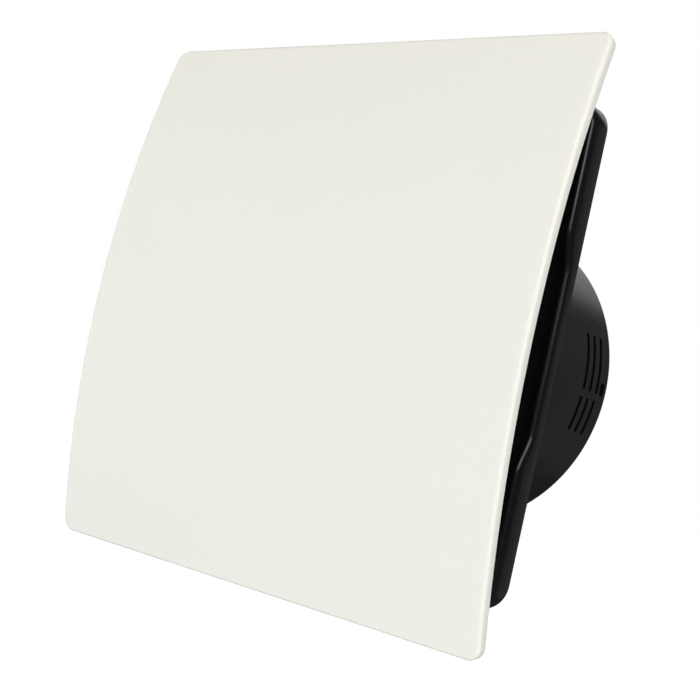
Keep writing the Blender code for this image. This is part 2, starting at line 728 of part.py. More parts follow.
def blade_section(radius, phase):
    """One blade section, wrapped round a cylinder of this radius."""
    share = (radius - HUB_R) / (BLADE_TIP_R - HUB_R)
    chord, stagger, camber, middle_y = [hub + (tip - hub) * share for hub, tip in
                                        (BLADE_CHORD, BLADE_STAGGER, BLADE_CAMBER, BLADE_MIDDLE_Y)]
    stagger = math.radians(stagger)
    top, under = [], []
    for i in range(6):
        s = i / 5 - 0.5
        lift = camber * (1 - 4 * s * s) * chord
        half = BLADE_THICKNESS / 2 * (0.55 + 0.45 * (1 - 4 * s * s))
        for side, points in ((1, top), (-1, under)):
            across = lift + side * half
            around = s * chord * math.sin(stagger) + across * math.cos(stagger)
            along = s * chord * math.cos(stagger) - across * math.sin(stagger)
            angle = phase + around / radius
            points.append((radius * math.cos(angle), middle_y + along, radius * math.sin(angle)))
    return top + list(reversed(under))


def make_impeller():
    wall = 1.8 * MM
    profile = [
        (1.8 * MM, -7.4 * MM), (6.0 * MM, -7.4 * MM), (16.0 * MM, -6.2 * MM), (24.0 * MM, -3.6 * MM),
        (27.6 * MM, -0.8 * MM), (HUB_R, 3.0 * MM), (HUB_R, 16.0 * MM), (HUB_R - wall, 16.0 * MM),
        (HUB_R - wall, 3.4 * MM), (26.0 * MM, 0.6 * MM), (23.0 * MM, -1.8 * MM),
        (15.5 * MM, -4.2 * MM), (6.0 * MM, -5.2 * MM), (5.0 * MM, 12.0 * MM), (1.8 * MM, 12.0 * MM),
    ]
    impeller = turned("impeller", profile, 30, "black_plastic")
    radii = [HUB_R - wall / 2, 36.0 * MM, 45.0 * MM, BLADE_TIP_R]
    blades = bmesh.new()
    for number in range(BLADE_COUNT):
        phase = ROD_PHASE + 2 * math.pi * number / BLADE_COUNT
        add_loft(blades, [blade_section(radius, phase) for radius in radii])
    join(impeller, solid("blades", blades))
    nut = [(0.0, -12.6 * MM), (2.6 * MM, -12.2 * MM), (4.2 * MM, -11.0 * MM), (4.2 * MM, -7.7 * MM),
           (2.2 * MM, -7.7 * MM), (2.2 * MM, -10.0 * MM), (0.0, -10.0 * MM)]
    turned("impeller_nut", nut, 6, "steel")


# Backdraft shutter ---------------------------------------------------------------------------


def make_shutter():
    half = SEAT_R - 0.5 * MM
    axle = cross_rod("shutter_axle", AXLE_R, (-half, half), (AXLE_Y, 0.0), 16, "steel")
    tab_y, tab_z = (AXLE_Y - 0.75 * MM, AXLE_Y + 0.75 * MM), (-1.8 * MM, 1.8 * MM)
    tab_ends = (half - 1.5 * MM, AXLE_TAB_END)
    spans = (tab_ends, (-tab_ends[1], -tab_ends[0]))
    join(axle, *[block("tab", span, tab_y, tab_z) for span in spans])
    make_flap("shutter_flap_upper", 1, UPPER_KNUCKLE)
    make_flap("shutter_flap_lower", -1, LOWER_KNUCKLE)
    make_flap_spring("flap_spring_upper", 1)
    make_flap_spring("flap_spring_lower", -1)


def make_flap(name, side, knuckle):
    """Half a disc whose straight edge turns on the axle; side is 1 above it and -1 below."""
    start = math.asin(FLAP_ROOT / FLAP_R)
    steps = 20
    outline = []
    for i in range(steps + 1):
        angle = start + (math.pi - 2 * start) * i / steps
        outline.append((FLAP_R * math.cos(angle), side * FLAP_R * math.sin(angle)))
    window, depth = FLAP_WINDOW
    outline += [(-window, side * FLAP_ROOT), (-window, side * depth), (window, side * depth),
                (window, side * FLAP_ROOT)]
    half = FLAP_THICKNESS / 2
    flap = extruded(name, outline, (AXLE_Y - half, AXLE_Y + half), "Y", "black_plastic")
    web_y = (AXLE_Y - half * 0.9, AXLE_Y + half * 0.9)
    web_z = sorted((side * 1.9 * MM, side * (FLAP_ROOT + PRESS)))
    webs, barrels, bores = [], [], []
    for middle in (-knuckle, knuckle):
        span = (middle - KNUCKLE_LENGTH / 2, middle + KNUCKLE_LENGTH / 2)
        webs.append(block("web", span, web_y, web_z))
        barrels.append(cross_rod("barrel", KNUCKLE_R, span, (AXLE_Y, 0.0)))
        bores.append(cross_rod("bore", KNUCKLE_BORE_R, (span[0] - MM, span[1] + MM), (AXLE_Y, 0.0)))
    join(flap, *webs)
    join(flap, *barrels)
    cut(flap, *bores)


def make_flap_spring(name, side):
    """A torsion spring on the axle, with one leg resting on the rear of its flap."""
    leg_y = FLAP_THICKNESS / 2 + GAP + SPRING_WIRE_R
    leg_angle = math.acos(leg_y / SPRING_COIL_R)
    per_turn = 10
    route = []
    for i in range(SPRING_TURNS * per_turn + 1):
        angle = leg_angle - 2 * math.pi * i / per_turn
        x = side * (SPRING_START + SPRING_PITCH * i / per_turn)
        y = AXLE_Y + SPRING_COIL_R * math.cos(angle)
        z = side * SPRING_COIL_R * math.sin(angle)
        route.append((x, y, z))
    leg = [(route[0][0], AXLE_Y + leg_y, side * reach) for reach in SPRING_LEG]
    tube(name, leg + route, SPRING_WIRE_R, "steel", 1)


# Electrical parts ----------------------------------------------------------------------------


def beside_arm(along):
    """The (x, z) of a place beside the lower left arm, this far out along it."""
    angle = math.radians(ARM_ANGLES[1])
    x = along * math.cos(angle) - LEAD_OFFSET * math.sin(angle)
    z = along * math.sin(angle) + LEAD_OFFSET * math.cos(angle)
    return x, z


def lead_route():
    """From the terminals through the tray's floor, along the tube, and in beside the arm."""
    out_x, out_z = beside_arm(LEAD_HOLE_R)
    tube_x, tube_z = beside_arm(LEAD_TUBE_R)
    return [
        (-50.2 * MM, -5.6 * MM, BLOCK_Z[1] + GAP),
        (-50.0 * MM, -5.6 * MM, -58.3 * MM),
        (-48.6 * MM, -5.8 * MM, -54.6 * MM),
        (out_x - 2.6 * MM, -5.2 * MM, out_z - 1.0 * MM),
        (out_x - 0.4 * MM, -3.0 * MM, out_z),
        (out_x, 0.0, out_z),
        (tube_x - 1.2 * MM, 3.6 * MM, tube_z - 1.2 * MM),
        (tube_x, 8.0 * MM, tube_z),
        (tube_x, 22.0 * MM, tube_z),
        (tube_x, 38.0 * MM, tube_z),
        (beside_arm(60.0 * MM)[0], 42.6 * MM, beside_arm(60.0 * MM)[1]),
        (beside_arm(58.0 * MM)[0], LEAD_Y, beside_arm(58.0 * MM)[1]),
        (beside_arm(54.0 * MM)[0], LEAD_Y, beside_arm(54.0 * MM)[1]),
        (beside_arm(40.0 * MM)[0], LEAD_Y, beside_arm(40.0 * MM)[1]),
        (beside_arm(25.0 * MM)[0], LEAD_Y, beside_arm(25.0 * MM)[1]),
    ]


def smooth_route(points, per_span):
    """Points along a Catmull-Rom curve through the given ones."""
    places = [Vector(p) for p in points]
    ends = [2 * places[0] - places[1]] + places + [2 * places[-1] - places[-2]]
    route = []
    for i in range(1, len(ends) - 2):
        before, start, stop, after = ends[i - 1:i + 3]
        for step in range(per_span):
            t = step / per_span
            bend = 2 * before - 5 * start + 4 * stop - after
            twist = 3 * start - before - 3 * stop + after
            place = 0.5 * (2 * start + (stop - before) * t + bend * t * t + twist * t**3)
            route.append(tuple(place))
    return route + [tuple(places[-1])]


def make_terminals():
    body = block("terminal_block", BLOCK_X, BLOCK_Y, BLOCK_Z, "pale_plastic")
    bevel(body, 0.6 * MM)
    places = [(x, z) for z in POLE_Z for x in POLE_X]
    well = (BLOCK_Y[0] - MM, -6.0 * MM)
    cut(body, *[rod("well", POLE_WELL_R, well, place, 12) for place in places])
    for number, place in enumerate(places, 1):
        rod(f"terminal_screw_{number}", POLE_SCREW_R, (BLOCK_Y[0] + 2.5 * MM, -6.5 * MM), place, 12,
            "steel")
    wall, top = COVER_WALL, COVER_TOP
    cover = block("terminal_cover", BAY_X, (top, BAY_TOP - GAP), BAY_Z, "black_plastic")
    bevel(cover, 0.8 * MM)
    cut(cover, block("cover_hollow", (BAY_X[0] + wall, BAY_X[1] - wall), (top + wall, BAY_TOP + MM),
                     (BAY_Z[0] + wall, BAY_Z[1] - wall)))
    post = (CABLE_ENTRY[0], BLOCK_Z[1] - 1.2 * MM)
    join(cover, rod("post", 2.4 * MM, (top + PRESS, BAY_TOP - MM), post, 12))
    cut(cover, rod("bore", SCREW_BORE_R, (top - MM, BAY_TOP), post, 10))
    screw("terminal_cover_screw", post, top - GAP, BAY_TOP - 0.4 * MM)
    bar = block("cable_clamp", (CLAMP_X - 2.2 * MM, CLAMP_X + 2.2 * MM), CLAMP_BAR_Y,
                (CLAMP_SCREW_Z[0] - 1.6 * MM, CLAMP_SCREW_Z[1] + 1.6 * MM), "grey_plastic")
    hole = (-9 * MM, -4 * MM)
    cut(bar, *[rod("hole", 1.3 * MM, hole, (CLAMP_X, z), 10) for z in CLAMP_SCREW_Z])
    for number, z in enumerate(CLAMP_SCREW_Z, 1):
        screw(f"clamp_screw_{number}", (CLAMP_X, z), -7.9 * MM, -2.8 * MM, head_r=1.6 * MM,
              shank_r=0.85 * MM)
    seal = CABLE_ENTRY_R
    profile = [(0.0, -4.6 * MM), (1.8 * MM, -4.6 * MM), (2.6 * MM, -3.8 * MM),
               (seal + MM, -3.8 * MM), (seal + MM, -FRAME_FLOOR - GAP),
               (seal - GAP, -FRAME_FLOOR - GAP), (seal - GAP, -0.2 * MM), (0.0, -0.2 * MM)]
    turned("cable_grommet", profile, 16, "rubber", CABLE_ENTRY, ROD_PHASE)
    tube("motor_lead", smooth_route(lead_route(), 2), LEAD_R, "grey_plastic")


def make_ring_screws():
    for number in range(4):
        angle = math.pi / 2 * number
        place = (EAR_SCREW_R * math.cos(angle), EAR_SCREW_R * math.sin(angle))
        screw(f"ring_screw_{number + 1}", place, EAR[0] - GAP, -0.5 * MM)


def make_cradle_screws():
    for number, degrees in enumerate(ARM_ANGLES, 1):
        angle = math.radians(degrees)
        place = (CRADLE_SCREW_R * math.cos(angle), CRADLE_SCREW_R * math.sin(angle))
        screw(f"cradle_screw_{number}", place, ARM[1] + GAP, 39.0 * MM)


def main():
    clear_scene()
    make_front_panel()
    make_panel_pegs()
    make_base_frame()
    make_duct_spigot()
    make_inlet_ring()
    make_ring_screws()
    make_motor_cradle()
    make_cradle_screws()
    make_motor_cap()
    make_motor()
    make_impeller()
    make_shutter()
    make_terminals()


main()
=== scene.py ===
"""Visual model of a wall-mounted bathroom extractor fan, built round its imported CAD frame.

Axes: +X to the right and +Z up as seen from the room, +Y into the wall. Lengths are in metres.
"""

import json
from math import acos, asin, cos, degrees as in_degrees, hypot, pi, radians, sin, sqrt

import bmesh
import bpy
from mathutils import Matrix, Vector


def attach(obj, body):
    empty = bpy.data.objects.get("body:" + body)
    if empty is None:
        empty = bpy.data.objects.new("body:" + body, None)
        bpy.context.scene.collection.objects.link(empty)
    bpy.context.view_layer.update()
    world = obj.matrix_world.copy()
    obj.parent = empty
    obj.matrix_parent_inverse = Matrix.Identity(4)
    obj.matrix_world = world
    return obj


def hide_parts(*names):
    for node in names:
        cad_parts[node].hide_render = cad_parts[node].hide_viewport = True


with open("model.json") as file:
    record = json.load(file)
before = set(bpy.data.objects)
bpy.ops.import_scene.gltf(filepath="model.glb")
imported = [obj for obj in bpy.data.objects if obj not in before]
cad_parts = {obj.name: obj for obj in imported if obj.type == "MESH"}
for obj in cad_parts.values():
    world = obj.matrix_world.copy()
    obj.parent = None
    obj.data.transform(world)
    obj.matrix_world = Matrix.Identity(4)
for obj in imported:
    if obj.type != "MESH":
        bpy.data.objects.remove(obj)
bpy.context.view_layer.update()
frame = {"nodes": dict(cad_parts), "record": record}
nodes = frame["nodes"]

MM = 0.001
QUARTERS = (0, 90, 180, 270)
SHARP_ANGLE = 32.0  # edges sharper than this, in degrees, aren't shaded smooth
SCREW_BORE = 1.5 * MM  # radius of the holes round the housing's screws
TUBE_SIDES = 160  # facets round the tube, the bell mouth and the tray's hole

# Camera: where it stands, what it looks at, its roll and its lens
CAMERA_PLACE = (0.2857, -0.3436, -0.0490)
CAMERA_AIM = (-0.0017, -0.0004, -0.0079)
CAMERA_ROLL = -13.02
CAMERA_LENS = 66.22

# The floor's height below the duct axis, and its radius
FLOOR_LEVEL = -0.34
FLOOR_RADIUS = 14.0

WHITE = (1.0, 1.0, 1.0, 1.0)

# Brightness of the surround in matte light and in reflections
MATTE_SURROUND = 0.12
SHINY_SURROUND = 0.05

# Front panel
PANEL_SIDE = 187 * MM
PANEL_CORNER = 4.4 * MM
PANEL_BULGE = 11.3 * MM
PANEL_THICKNESS = 3.7 * MM
PANEL_EDGE_Y = -29.4 * MM
PANEL_FRONT_ROUND = 1.3 * MM
PANEL_BACK_ROUND = 0.5 * MM
PEG_XZ = 69 * MM
PEG_PLACES = [(x, z) for z in (PEG_XZ, -PEG_XZ) for x in (-PEG_XZ, PEG_XZ)]
RIB_REACH = 80 * MM
BOSS_END = -17 * MM

# Base frame
FRAME_SIDE = 161.6 * MM
FRAME_CORNER = 8.8 * MM
FRAME_WALL = 2.2 * MM
FRAME_FLOOR = 2.4 * MM
FLOOR_ROOT = -FRAME_FLOOR + 0.6 * MM  # how deep the parts on the floor are rooted in it
RIM_HIGH = 8.4 * MM
RIM_LOW = 5 * MM
RIM_OUTER_ROUND = 1.7 * MM
RIM_ROUND_SHARE = 0.5  # the rounding runs this share of the rim's height down the outside
RIM_INNER_ROUND = 0.35 * MM
RIM_DIP_INNER = 25.4 * MM
RIM_DIP_OUTER = 38.6 * MM
DRAFT = 0.15 * MM
FIXING_PLACES = [(x, z) for x in (-62 * MM, 62 * MM) for z in (-51 * MM, 51 * MM)]
SOCKET_TOP = -14.2 * MM

# Duct spigot and inlet ring
SPIGOT_R = 58.5 * MM
SPIGOT_INNER = 56.3 * MM
SPIGOT_LENGTH = 75 * MM
LIP_R = 60.9 * MM
LIP = (-4.6 * MM, -2.7 * MM)
MOUTH_R = 62.3 * MM
MOUTH_DEPTH = 9 * MM
RING_R = 63 * MM
RING_SKIRT_R = 61.2 * MM
EAR = (-4.9 * MM, -2.7 * MM)
EAR_SCREW_R = 66 * MM
SLOT_WIDTH = 1.85 * MM
SLOT_DEPTHS = (58.1 * MM, 62.8 * MM, 67.6 * MM)
SLOT_SPANS = ((-17.2, -4.6), (-2.0, 18.0))
SEAT = (68.9 * MM, 70.3 * MM)
SEAT_R = 54.4 * MM
NOTCH = (2.8 * MM, 4.5 * MM)

# Motor cradle
ARM_ANGLES = (105.0, 225.0, 345.0)
CRADLE_SCREW_R = 52.8 * MM
CUP_R = 30 * MM
CUP_WALL = 2 * MM
CUP = (19.8 * MM, 50 * MM)
CUP_SIDES = 112
POST_X = (-13.5 * MM, 13.5 * MM)

# Impeller
HUB_R = 29 * MM
BLADE_COUNT = 6
BLADE_PHASE = 0.11
BLADE_TIP_R = 54.6 * MM
BLADE_THICKNESS = 1.6 * MM

# Shutter
AXLE_Y = 71.3 * MM
AXLE_R = 1.2 * MM
FLAP_R = 55.2 * MM
FLAP_THICKNESS = 1.2 * MM
FLAP_STEPS = 72
FLAP_ROOT = 2.7 * MM
KNUCKLE_R = 2.3 * MM
KNUCKLE_LENGTH = 12 * MM
UPPER_KNUCKLE = 42 * MM
LOWER_KNUCKLE = 26 * MM

# Terminal compartment
BAY_X = (-63.5 * MM, -29.5 * MM)
BAY_Z = (-77.5 * MM, -57.5 * MM)
BAY_TOP = -8 * MM
COVER_TOP = -18.2 * MM
CABLE_ENTRY = (-37 * MM, -67.6 * MM)
CLAMP_X = -42.6 * MM
CLAMP_SCREW_Z = (-74 * MM, -61.2 * MM)
COVER_POST = (-37 * MM, -61.2 * MM)


# ---- Mesh tools ----


def add_object(name, data):
    obj = bpy.data.objects.new(name, data)
    bpy.context.scene.collection.objects.link(obj)
    return obj


def new_object(name, bm):
    bmesh.ops.recalc_face_normals(bm, faces=bm.faces)
    mesh = bpy.data.meshes.new(name)
    bm.to_mesh(mesh)
    bm.free()
    obj = add_object(name, mesh)
    shade(obj)
    return obj


def shade(obj):
    obj.data.shade_smooth()
    obj.data.set_sharp_from_angle(angle=radians(SHARP_ANGLE))


def discard(obj):
    mesh = obj.data
    bpy.data.objects.remove(obj)
    bpy.data.meshes.remove(mesh)


def bridge(bm, ring_a, ring_b):
    count = max(len(ring_a), len(ring_b))
    for i in range(count):
        j = (i + 1) % count
        corners = [ring_a[i % len(ring_a)], ring_a[j % len(ring_a)]]
        corners += [ring_b[j % len(ring_b)], ring_b[i % len(ring_b)]]
        face = list(dict.fromkeys(corners))
        if len(face) > 2:
            bm.faces.new(face)


def add_rings(bm, rings, closed=False):
    """Joins each ring of points to the next, and the last one to the first if closed."""
    loops = [[bm.verts.new(point) for point in ring] for ring in rings]
    for near, far in zip(loops, loops[1:] + loops[:closed]):
        bridge(bm, near, far)
    return loops


def add_loft(bm, rings):
    loops = add_rings(bm, rings)
    bm.faces.new(loops[0])
    bm.faces.new(loops[-1])


def lofted(name, rings):
    bm = bmesh.new()
    add_loft(bm, rings)
    return new_object(name, bm)


def hollow_ring(name, rings):
    bm = bmesh.new()
    add_rings(bm, rings, closed=True)
    return new_object(name, bm)


def circle(sides, phase=0.0):
    """The cosine and the sine at each corner of a polygon."""
    angles = [phase + 2 * pi * i / sides for i in range(sides)]
    return [(cos(angle), sin(angle)) for angle in angles]


def turned(name, profile, sides, centre=(0.0, 0.0), phase=0.0):
    """A solid of revolution about +Y: a closed profile of (radius, depth)."""
    rings = []
    for radius, depth in profile:
        corners = circle(sides, phase) if radius else [(0.0, 0.0)]
        rings.append([(centre[0] + radius * c, depth, centre[1] + radius * s) for c, s in corners])
    return hollow_ring(name, rings)


def level(outline, depth):
    """An outline of (x, z) points, placed at one depth."""
    return [(x, depth, z) for x, z in outline]


def extruded(name, outline, span):
    return lofted(name, [level(outline, depth) for depth in span])


def in_mm(points, start=0.0):
    """Profile points given in millimetres, their depths counted from the start."""
    return [(radius * MM, start + depth * MM) for radius, depth in points]


def about(middle, half):
    return (middle - half, middle + half)


def inward(span, inset):
    return (span[0] + inset, span[1] - inset)


def polar(radius, degrees):
    return (radius * cos(radians(degrees)), radius * sin(radians(degrees)))


def arc(centre, radius, start, stop, steps):
    """Points round part of a circle, both ends included; angles in degrees."""
    points = [polar(radius, start + (stop - start) * i / steps) for i in range(steps + 1)]
    return [(centre[0] + u, centre[1] + v) for u, v in points]


def quarter_round(steps):
    """(1 - cos, 1 - sin) of the angles from 0 to 90 degrees."""
    angles = [radians(90 * i / steps) for i in range(steps + 1)]
    return [(1 - cos(angle), 1 - sin(angle)) for angle in angles]


def rounded_outline(x, z, radius, steps=5):
    """A rectangle between x and z limits with round corners."""
    centres = ((x[1] - radius, z[1] - radius, 0), (x[0] + radius, z[1] - radius, 90),
               (x[0] + radius, z[0] + radius, 180), (x[1] - radius, z[0] + radius, 270))
    outline = []
    for cx, cz, start in centres:
        outline += arc((cx, cz), radius, start, start + 90, steps)
    return outline


def block(name, x, y, z, radius, edge, steps=5):
    """A block along Y with round corners and rounded top and bottom edges."""
    rings = []
    for depth, side in ((y[0], 1), (y[1], -1)):
        part = []
        for run, rise in reversed(quarter_round(3)):
            inset = edge * run
            corner = max(radius - inset, 0.05 * MM)
            outline = rounded_outline(inward(x, inset), inward(z, inset), corner, steps)
            part.append(level(outline, depth + side * edge * rise))
        rings += part[::side]
    return lofted(name, rings)


def rod(name, radius, span, centre=(0.0, 0.0), sides=32):
    near, far = span
    return turned(name, [(0.0, near), (radius, near), (radius, far), (0.0, far)], sides, centre,
                  BLADE_PHASE)


def cross_rod(name, radius, span, centre, sides=32, edge=0.0):
    """A round bar along X, with its end edges broken; centre is its (y, z)."""
    near, far = span
    stations = [(near, radius - edge), (near + edge, radius), (far - edge, radius),
                (far, radius - edge)]
    return lofted(name, [[(x, centre[0] + size * c, centre[1] + size * s) for c, s in circle(sides)]
                         for x, size in (stations if edge else stations[::3])])


def around(angles, make, *details):
    """Solids of one kind turned about the duct axis, one for each angle."""
    solids = []
    for degrees in angles:
        solid = make(*details)
        solid.rotation_euler = (0.0, -radians(degrees), 0.0)
        solids.append(solid)
    return solids


def apply_modifiers(obj):
    graph = bpy.context.evaluated_depsgraph_get()
    mesh = bpy.data.meshes.new_from_object(obj.evaluated_get(graph))
    old = obj.data
    obj.modifiers.clear()
    obj.data = mesh
    bpy.data.meshes.remove(old)


def combine(target, tools, operation):
    """Joins or cuts the target with tools that are clear of each other, and applies it."""
    bm = bmesh.new()
    for tool in tools:
        tool.data.transform(tool.matrix_basis)
        bm.from_mesh(tool.data)
        discard(tool)
    guide = new_object("guide", bm)
    modifier = target.modifiers.new("combine", "BOOLEAN")
    modifier.operation = operation
    modifier.solver = "EXACT"
    modifier.object = guide
    apply_modifiers(target)
    discard(guide)
    shade(target)


def join(target, *tools):
    combine(target, tools, "UNION")


def cut(target, *tools):
    combine(target, tools, "DIFFERENCE")


def round_off(obj, radii):
    """Gives the faces that lie on these cylinders round the duct axis their exact normals."""
    mesh = obj.data
    normals = [tuple(corner.vector) for corner in mesh.corner_normals]
    for face in mesh.polygons:
        corners = [mesh.vertices[mesh.loops[i].vertex_index].co for i in face.loop_indices]
        for radius in radii:
            if all(abs(hypot(co.x, co.z) - radius) < 0.04 * MM for co in corners):
                for i, co in zip(face.loop_indices, corners):
                    outward = Vector((co.x, 0.0, co.z)).normalized()
                    normals[i] = tuple(outward if outward.dot(face.normal) > 0 else -outward)
    mesh.normals_split_custom_set(normals)


def bevel(obj, width, segments, limit):
    modifier = obj.modifiers.new("edge", "BEVEL")
    modifier.width = width
    modifier.segments = segments
    modifier.limit_method = "ANGLE"
    modifier.angle_limit = radians(limit)
    apply_modifiers(obj)
    shade(obj)


def smooth_step(value):
    value = min(max(value, 0.0), 1.0)
    return value * value * (3 - 2 * value)


def smooth_route(points, per_span):
    """Points along a Catmull-Rom curve through the given ones."""
    places = [Vector(p) for p in points]
    ends = [2 * places[0] - places[1]] + places + [2 * places[-1] - places[-2]]
    route = []
    for i in range(1, len(ends) - 2):
        before, start, stop, after = ends[i - 1:i + 3]
        for step in range(per_span):
            t = step / per_span
            bend = 2 * before - 5 * start + 4 * stop - after
            twist = 3 * start - before - 3 * stop + after
            route.append(0.5 * (2 * start + (stop - before) * t + bend * t * t + twist * t**3))
    return route + [places[-1]]


def tube(name, route, radius, sides):
    """A round wire along a route, its section turned as little as possible on the way."""
    rings = []
    normal = None
    for i, place in enumerate(route):
        ahead = route[min(i + 1, len(route) - 1)] - route[max(i - 1, 0)]
        ahead.normalize()
        if normal is None:
            normal = ahead.orthogonal().normalized()
        normal = (normal - ahead * normal.dot(ahead)).normalized()
        across = ahead.cross(normal)
        rings.append([place + radius * (normal * c + across * s) for c, s in circle(sides)])
    return lofted(name, rings)


def piece(obj, name, *replaced, body="housing", slot="black_plastic", look=None):
    """Puts a finished mesh on its body, in place of the CAD nodes that it stands for.

    The look is the slot's own material unless another is named.
    """
    obj.name = name
    obj.data.name = name
    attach(obj, body)
    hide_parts(*replaced)
    obj.data.materials.clear()
    obj.data.materials.append(MATERIALS[look or slot])


# ---- Materials ----


def set_inputs(node, **values):
    """Gives inputs of a node their constant values; an underscore stands for a space."""
    for name, value in values.items():
        node.inputs[name.replace("_", " ")].default_value = value


class Shader:
    """A node material with a few helpers for wiring it."""

    def __init__(self, name):
        self.material = bpy.data.materials.new(name)
        self.material.use_nodes = True
        self.tree = self.material.node_tree
        self.surface = self.tree.nodes["Principled BSDF"]
        self.coords = self.add("ShaderNodeTexCoord").outputs["Object"]

    def add(self, kind, **values):
        node = self.tree.nodes.new(kind)
        for key, value in values.items():
            setattr(node, key, value)
        return node

    def wire(self, source, target):
        self.tree.links.new(source, target)

    def stretched(self, scale):
        node = self.add("ShaderNodeMapping")
        set_inputs(node, Scale=scale)
        self.wire(self.coords, node.inputs["Vector"])
        return node.outputs["Vector"]

    def noise(self, size, detail=2.0, rough=0.5, vector=None):
        """Noise with features of about this size."""
        node = self.add("ShaderNodeTexNoise")
        set_inputs(node, Scale=1.0 / size, Detail=detail, Roughness=rough)
        self.wire(vector or self.coords, node.inputs["Vector"])
        return node.outputs["Fac"]

    def spread(self, source, low, high, start=0.3, stop=0.7):
        node = self.add("ShaderNodeMapRange")
        set_inputs(node, From_Min=start, From_Max=stop, To_Min=low, To_Max=high)
        self.wire(source, node.inputs["Value"])
        return node.outputs["Result"]

    def between(self, source, dark, light, start=0.3, stop=0.7):
        share = self.spread(source, 0.0, 1.0, start, stop)
        node = self.add("ShaderNodeMix", data_type="RGBA")
        set_inputs(node, A=(*dark, 1.0), B=(*light, 1.0))
        self.wire(share, node.inputs["Factor"])
        return node.outputs["Result"]

    def bump(self, source, depth, below=None):
        node = self.add("ShaderNodeBump")
        set_inputs(node, Distance=depth, Strength=1.0)
        self.wire(source, node.inputs["Height"])
        if below:
            self.wire(below, node.inputs["Normal"])
        return node.outputs["Normal"]

    def bands(self, axis, pitch):
        """A sine wave across the given axis, 0 to 1."""
        parts = self.add("ShaderNodeSeparateXYZ")
        self.wire(self.coords, parts.inputs[0])
        turn = self.add("ShaderNodeMath", operation="MULTIPLY")
        turn.inputs[1].default_value = 2 * pi / pitch
        self.wire(parts.outputs[axis], turn.inputs[0])
        wave = self.add("ShaderNodeMath", operation="SINE")
        self.wire(turn.outputs[0], wave.inputs[0])
        return self.spread(wave.outputs[0], 0.0, 1.0, -1.0, 1.0)

    def finish(self, colour, roughness, normal=None, metallic=0.0, **sockets):
        for source, name in ((colour, "Base Color"), (roughness, "Roughness"), (normal, "Normal")):
            if source is not None:
                self.wire(source, self.surface.inputs[name])
        set_inputs(self.surface, Metallic=metallic, **sockets)
        return self.material


def shades(colour, amount):
    """This colour a little darker, and a little lighter."""
    return [tuple(min(c * share, 1.0) for c in colour) for share in (1 - amount, 1 + amount)]


def gloss_white():
    """Satin white plastic: a faint ripple in the surface and a little haze."""
    s = Shader("satin_white_plastic")
    haze = s.noise(60 * MM, 3.0)
    colour = s.between(haze, *shades((0.85, 0.845, 0.785), 0.006))
    ripple = s.bump(s.noise(9 * MM, 1.0), 0.004 * MM)
    fine = s.bump(s.noise(0.5 * MM, 2.0), 0.0004 * MM, ripple)
    return s.finish(colour, s.spread(s.noise(22 * MM, 4.0), 0.30, 0.36), fine, IOR=1.5,
                    Specular_IOR_Level=0.2)


def black_plastic(name, colour, rough, grain, depth):
    """Moulded plastic with a fine spark-eroded grain and slow changes of gloss."""
    s = Shader(name)
    slow = s.noise(26 * MM, 3.0)
    fine = s.noise(grain, 3.0, 0.6)
    tint = s.between(fine, *shades(colour, 0.12))
    normal = s.bump(fine, depth, s.bump(s.noise(7 * MM, 1.0), 0.006 * MM))
    return s.finish(tint, s.spread(slow, rough - 0.05, rough + 0.05), normal, IOR=1.5)


def pale_plastic():
    s = Shader("nylon")
    cloud = s.noise(4 * MM, 3.0)
    colour = s.between(cloud, *shades((0.74, 0.73, 0.68), 0.04))
    return s.finish(colour, s.spread(cloud, 0.42, 0.56), s.bump(s.noise(0.4 * MM), 0.006 * MM),
                    Subsurface_Weight=0.08)


def rubbery(name, colour, rough):
    s = Shader(name)
    skin = s.noise(0.6 * MM, 4.0, 0.6)
    tint = s.between(s.noise(6 * MM), *shades(colour, 0.15))
    return s.finish(tint, s.spread(skin, rough - 0.06, rough + 0.06), s.bump(skin, 0.01 * MM))


def plated_steel():
    """Bright zinc plating: fine turning marks and small dull patches."""
    s = Shader("plated_steel")
    patches = s.noise(1.6 * MM, 4.0, 0.6)
    colour = s.between(patches, (0.50, 0.50, 0.50), (0.64, 0.64, 0.63))
    marks = s.noise(0.5 * MM, 2.0, 0.5, s.stretched((1.0, 6.0, 1.0)))
    return s.finish(colour, s.spread(patches, 0.22, 0.36), s.bump(marks, 0.004 * MM), 1.0)


def notch_shade_steel():
    """Steel rod made near black, which paints the shade of the notch it sits in, with a thin film of
    oil.
    """
    s = Shader("near_black_steel_notch_shade")
    film = s.noise(1.2 * MM, 3.0)
    # near-black colour: painted shade for the axle's notch
    colour = s.between(film, (0.008, 0.008, 0.009), (0.014, 0.014, 0.015))
    return s.finish(colour, s.spread(film, 0.68, 0.80), s.bump(film, 0.002 * MM), 1.0)


def laminated():
    """Stacked sheets of electrical steel, 0.5 mm each, with darker joints."""
    s = Shader("laminated_steel")
    sheets = s.bands("Y", 0.5 * MM)
    grime = s.noise(3 * MM, 3.0)
    colour = s.between(sheets, (0.10, 0.10, 0.105), (0.32, 0.32, 0.33), 0.05, 0.35)
    return s.finish(colour, s.spread(grime, 0.38, 0.55), s.bump(sheets, 0.03 * MM), 1.0)


def copper_winding():
    """Close turns of enamelled wire; the colour is darker in the grooves between the turns, which is
    painted shade.
    """
    s = Shader("enamelled_copper")
    turns = s.bands("X", 0.34 * MM)
    # darker in the grooves between the turns: painted shade
    colour = s.between(turns, (0.20, 0.06, 0.02), (0.74, 0.33, 0.14), 0.0, 0.5)
    return s.finish(colour, s.spread(s.noise(2 * MM), 0.25, 0.36), s.bump(turns, 0.08 * MM), 1.0)


def bronze_bush():
    s = Shader("sintered_bronze")
    pores = s.noise(0.15 * MM, 4.0, 0.7)
    colour = s.between(pores, (0.38, 0.24, 0.11), (0.62, 0.43, 0.23))
    return s.finish(colour, s.spread(pores, 0.38, 0.52), s.bump(pores, 0.01 * MM), 1.0)


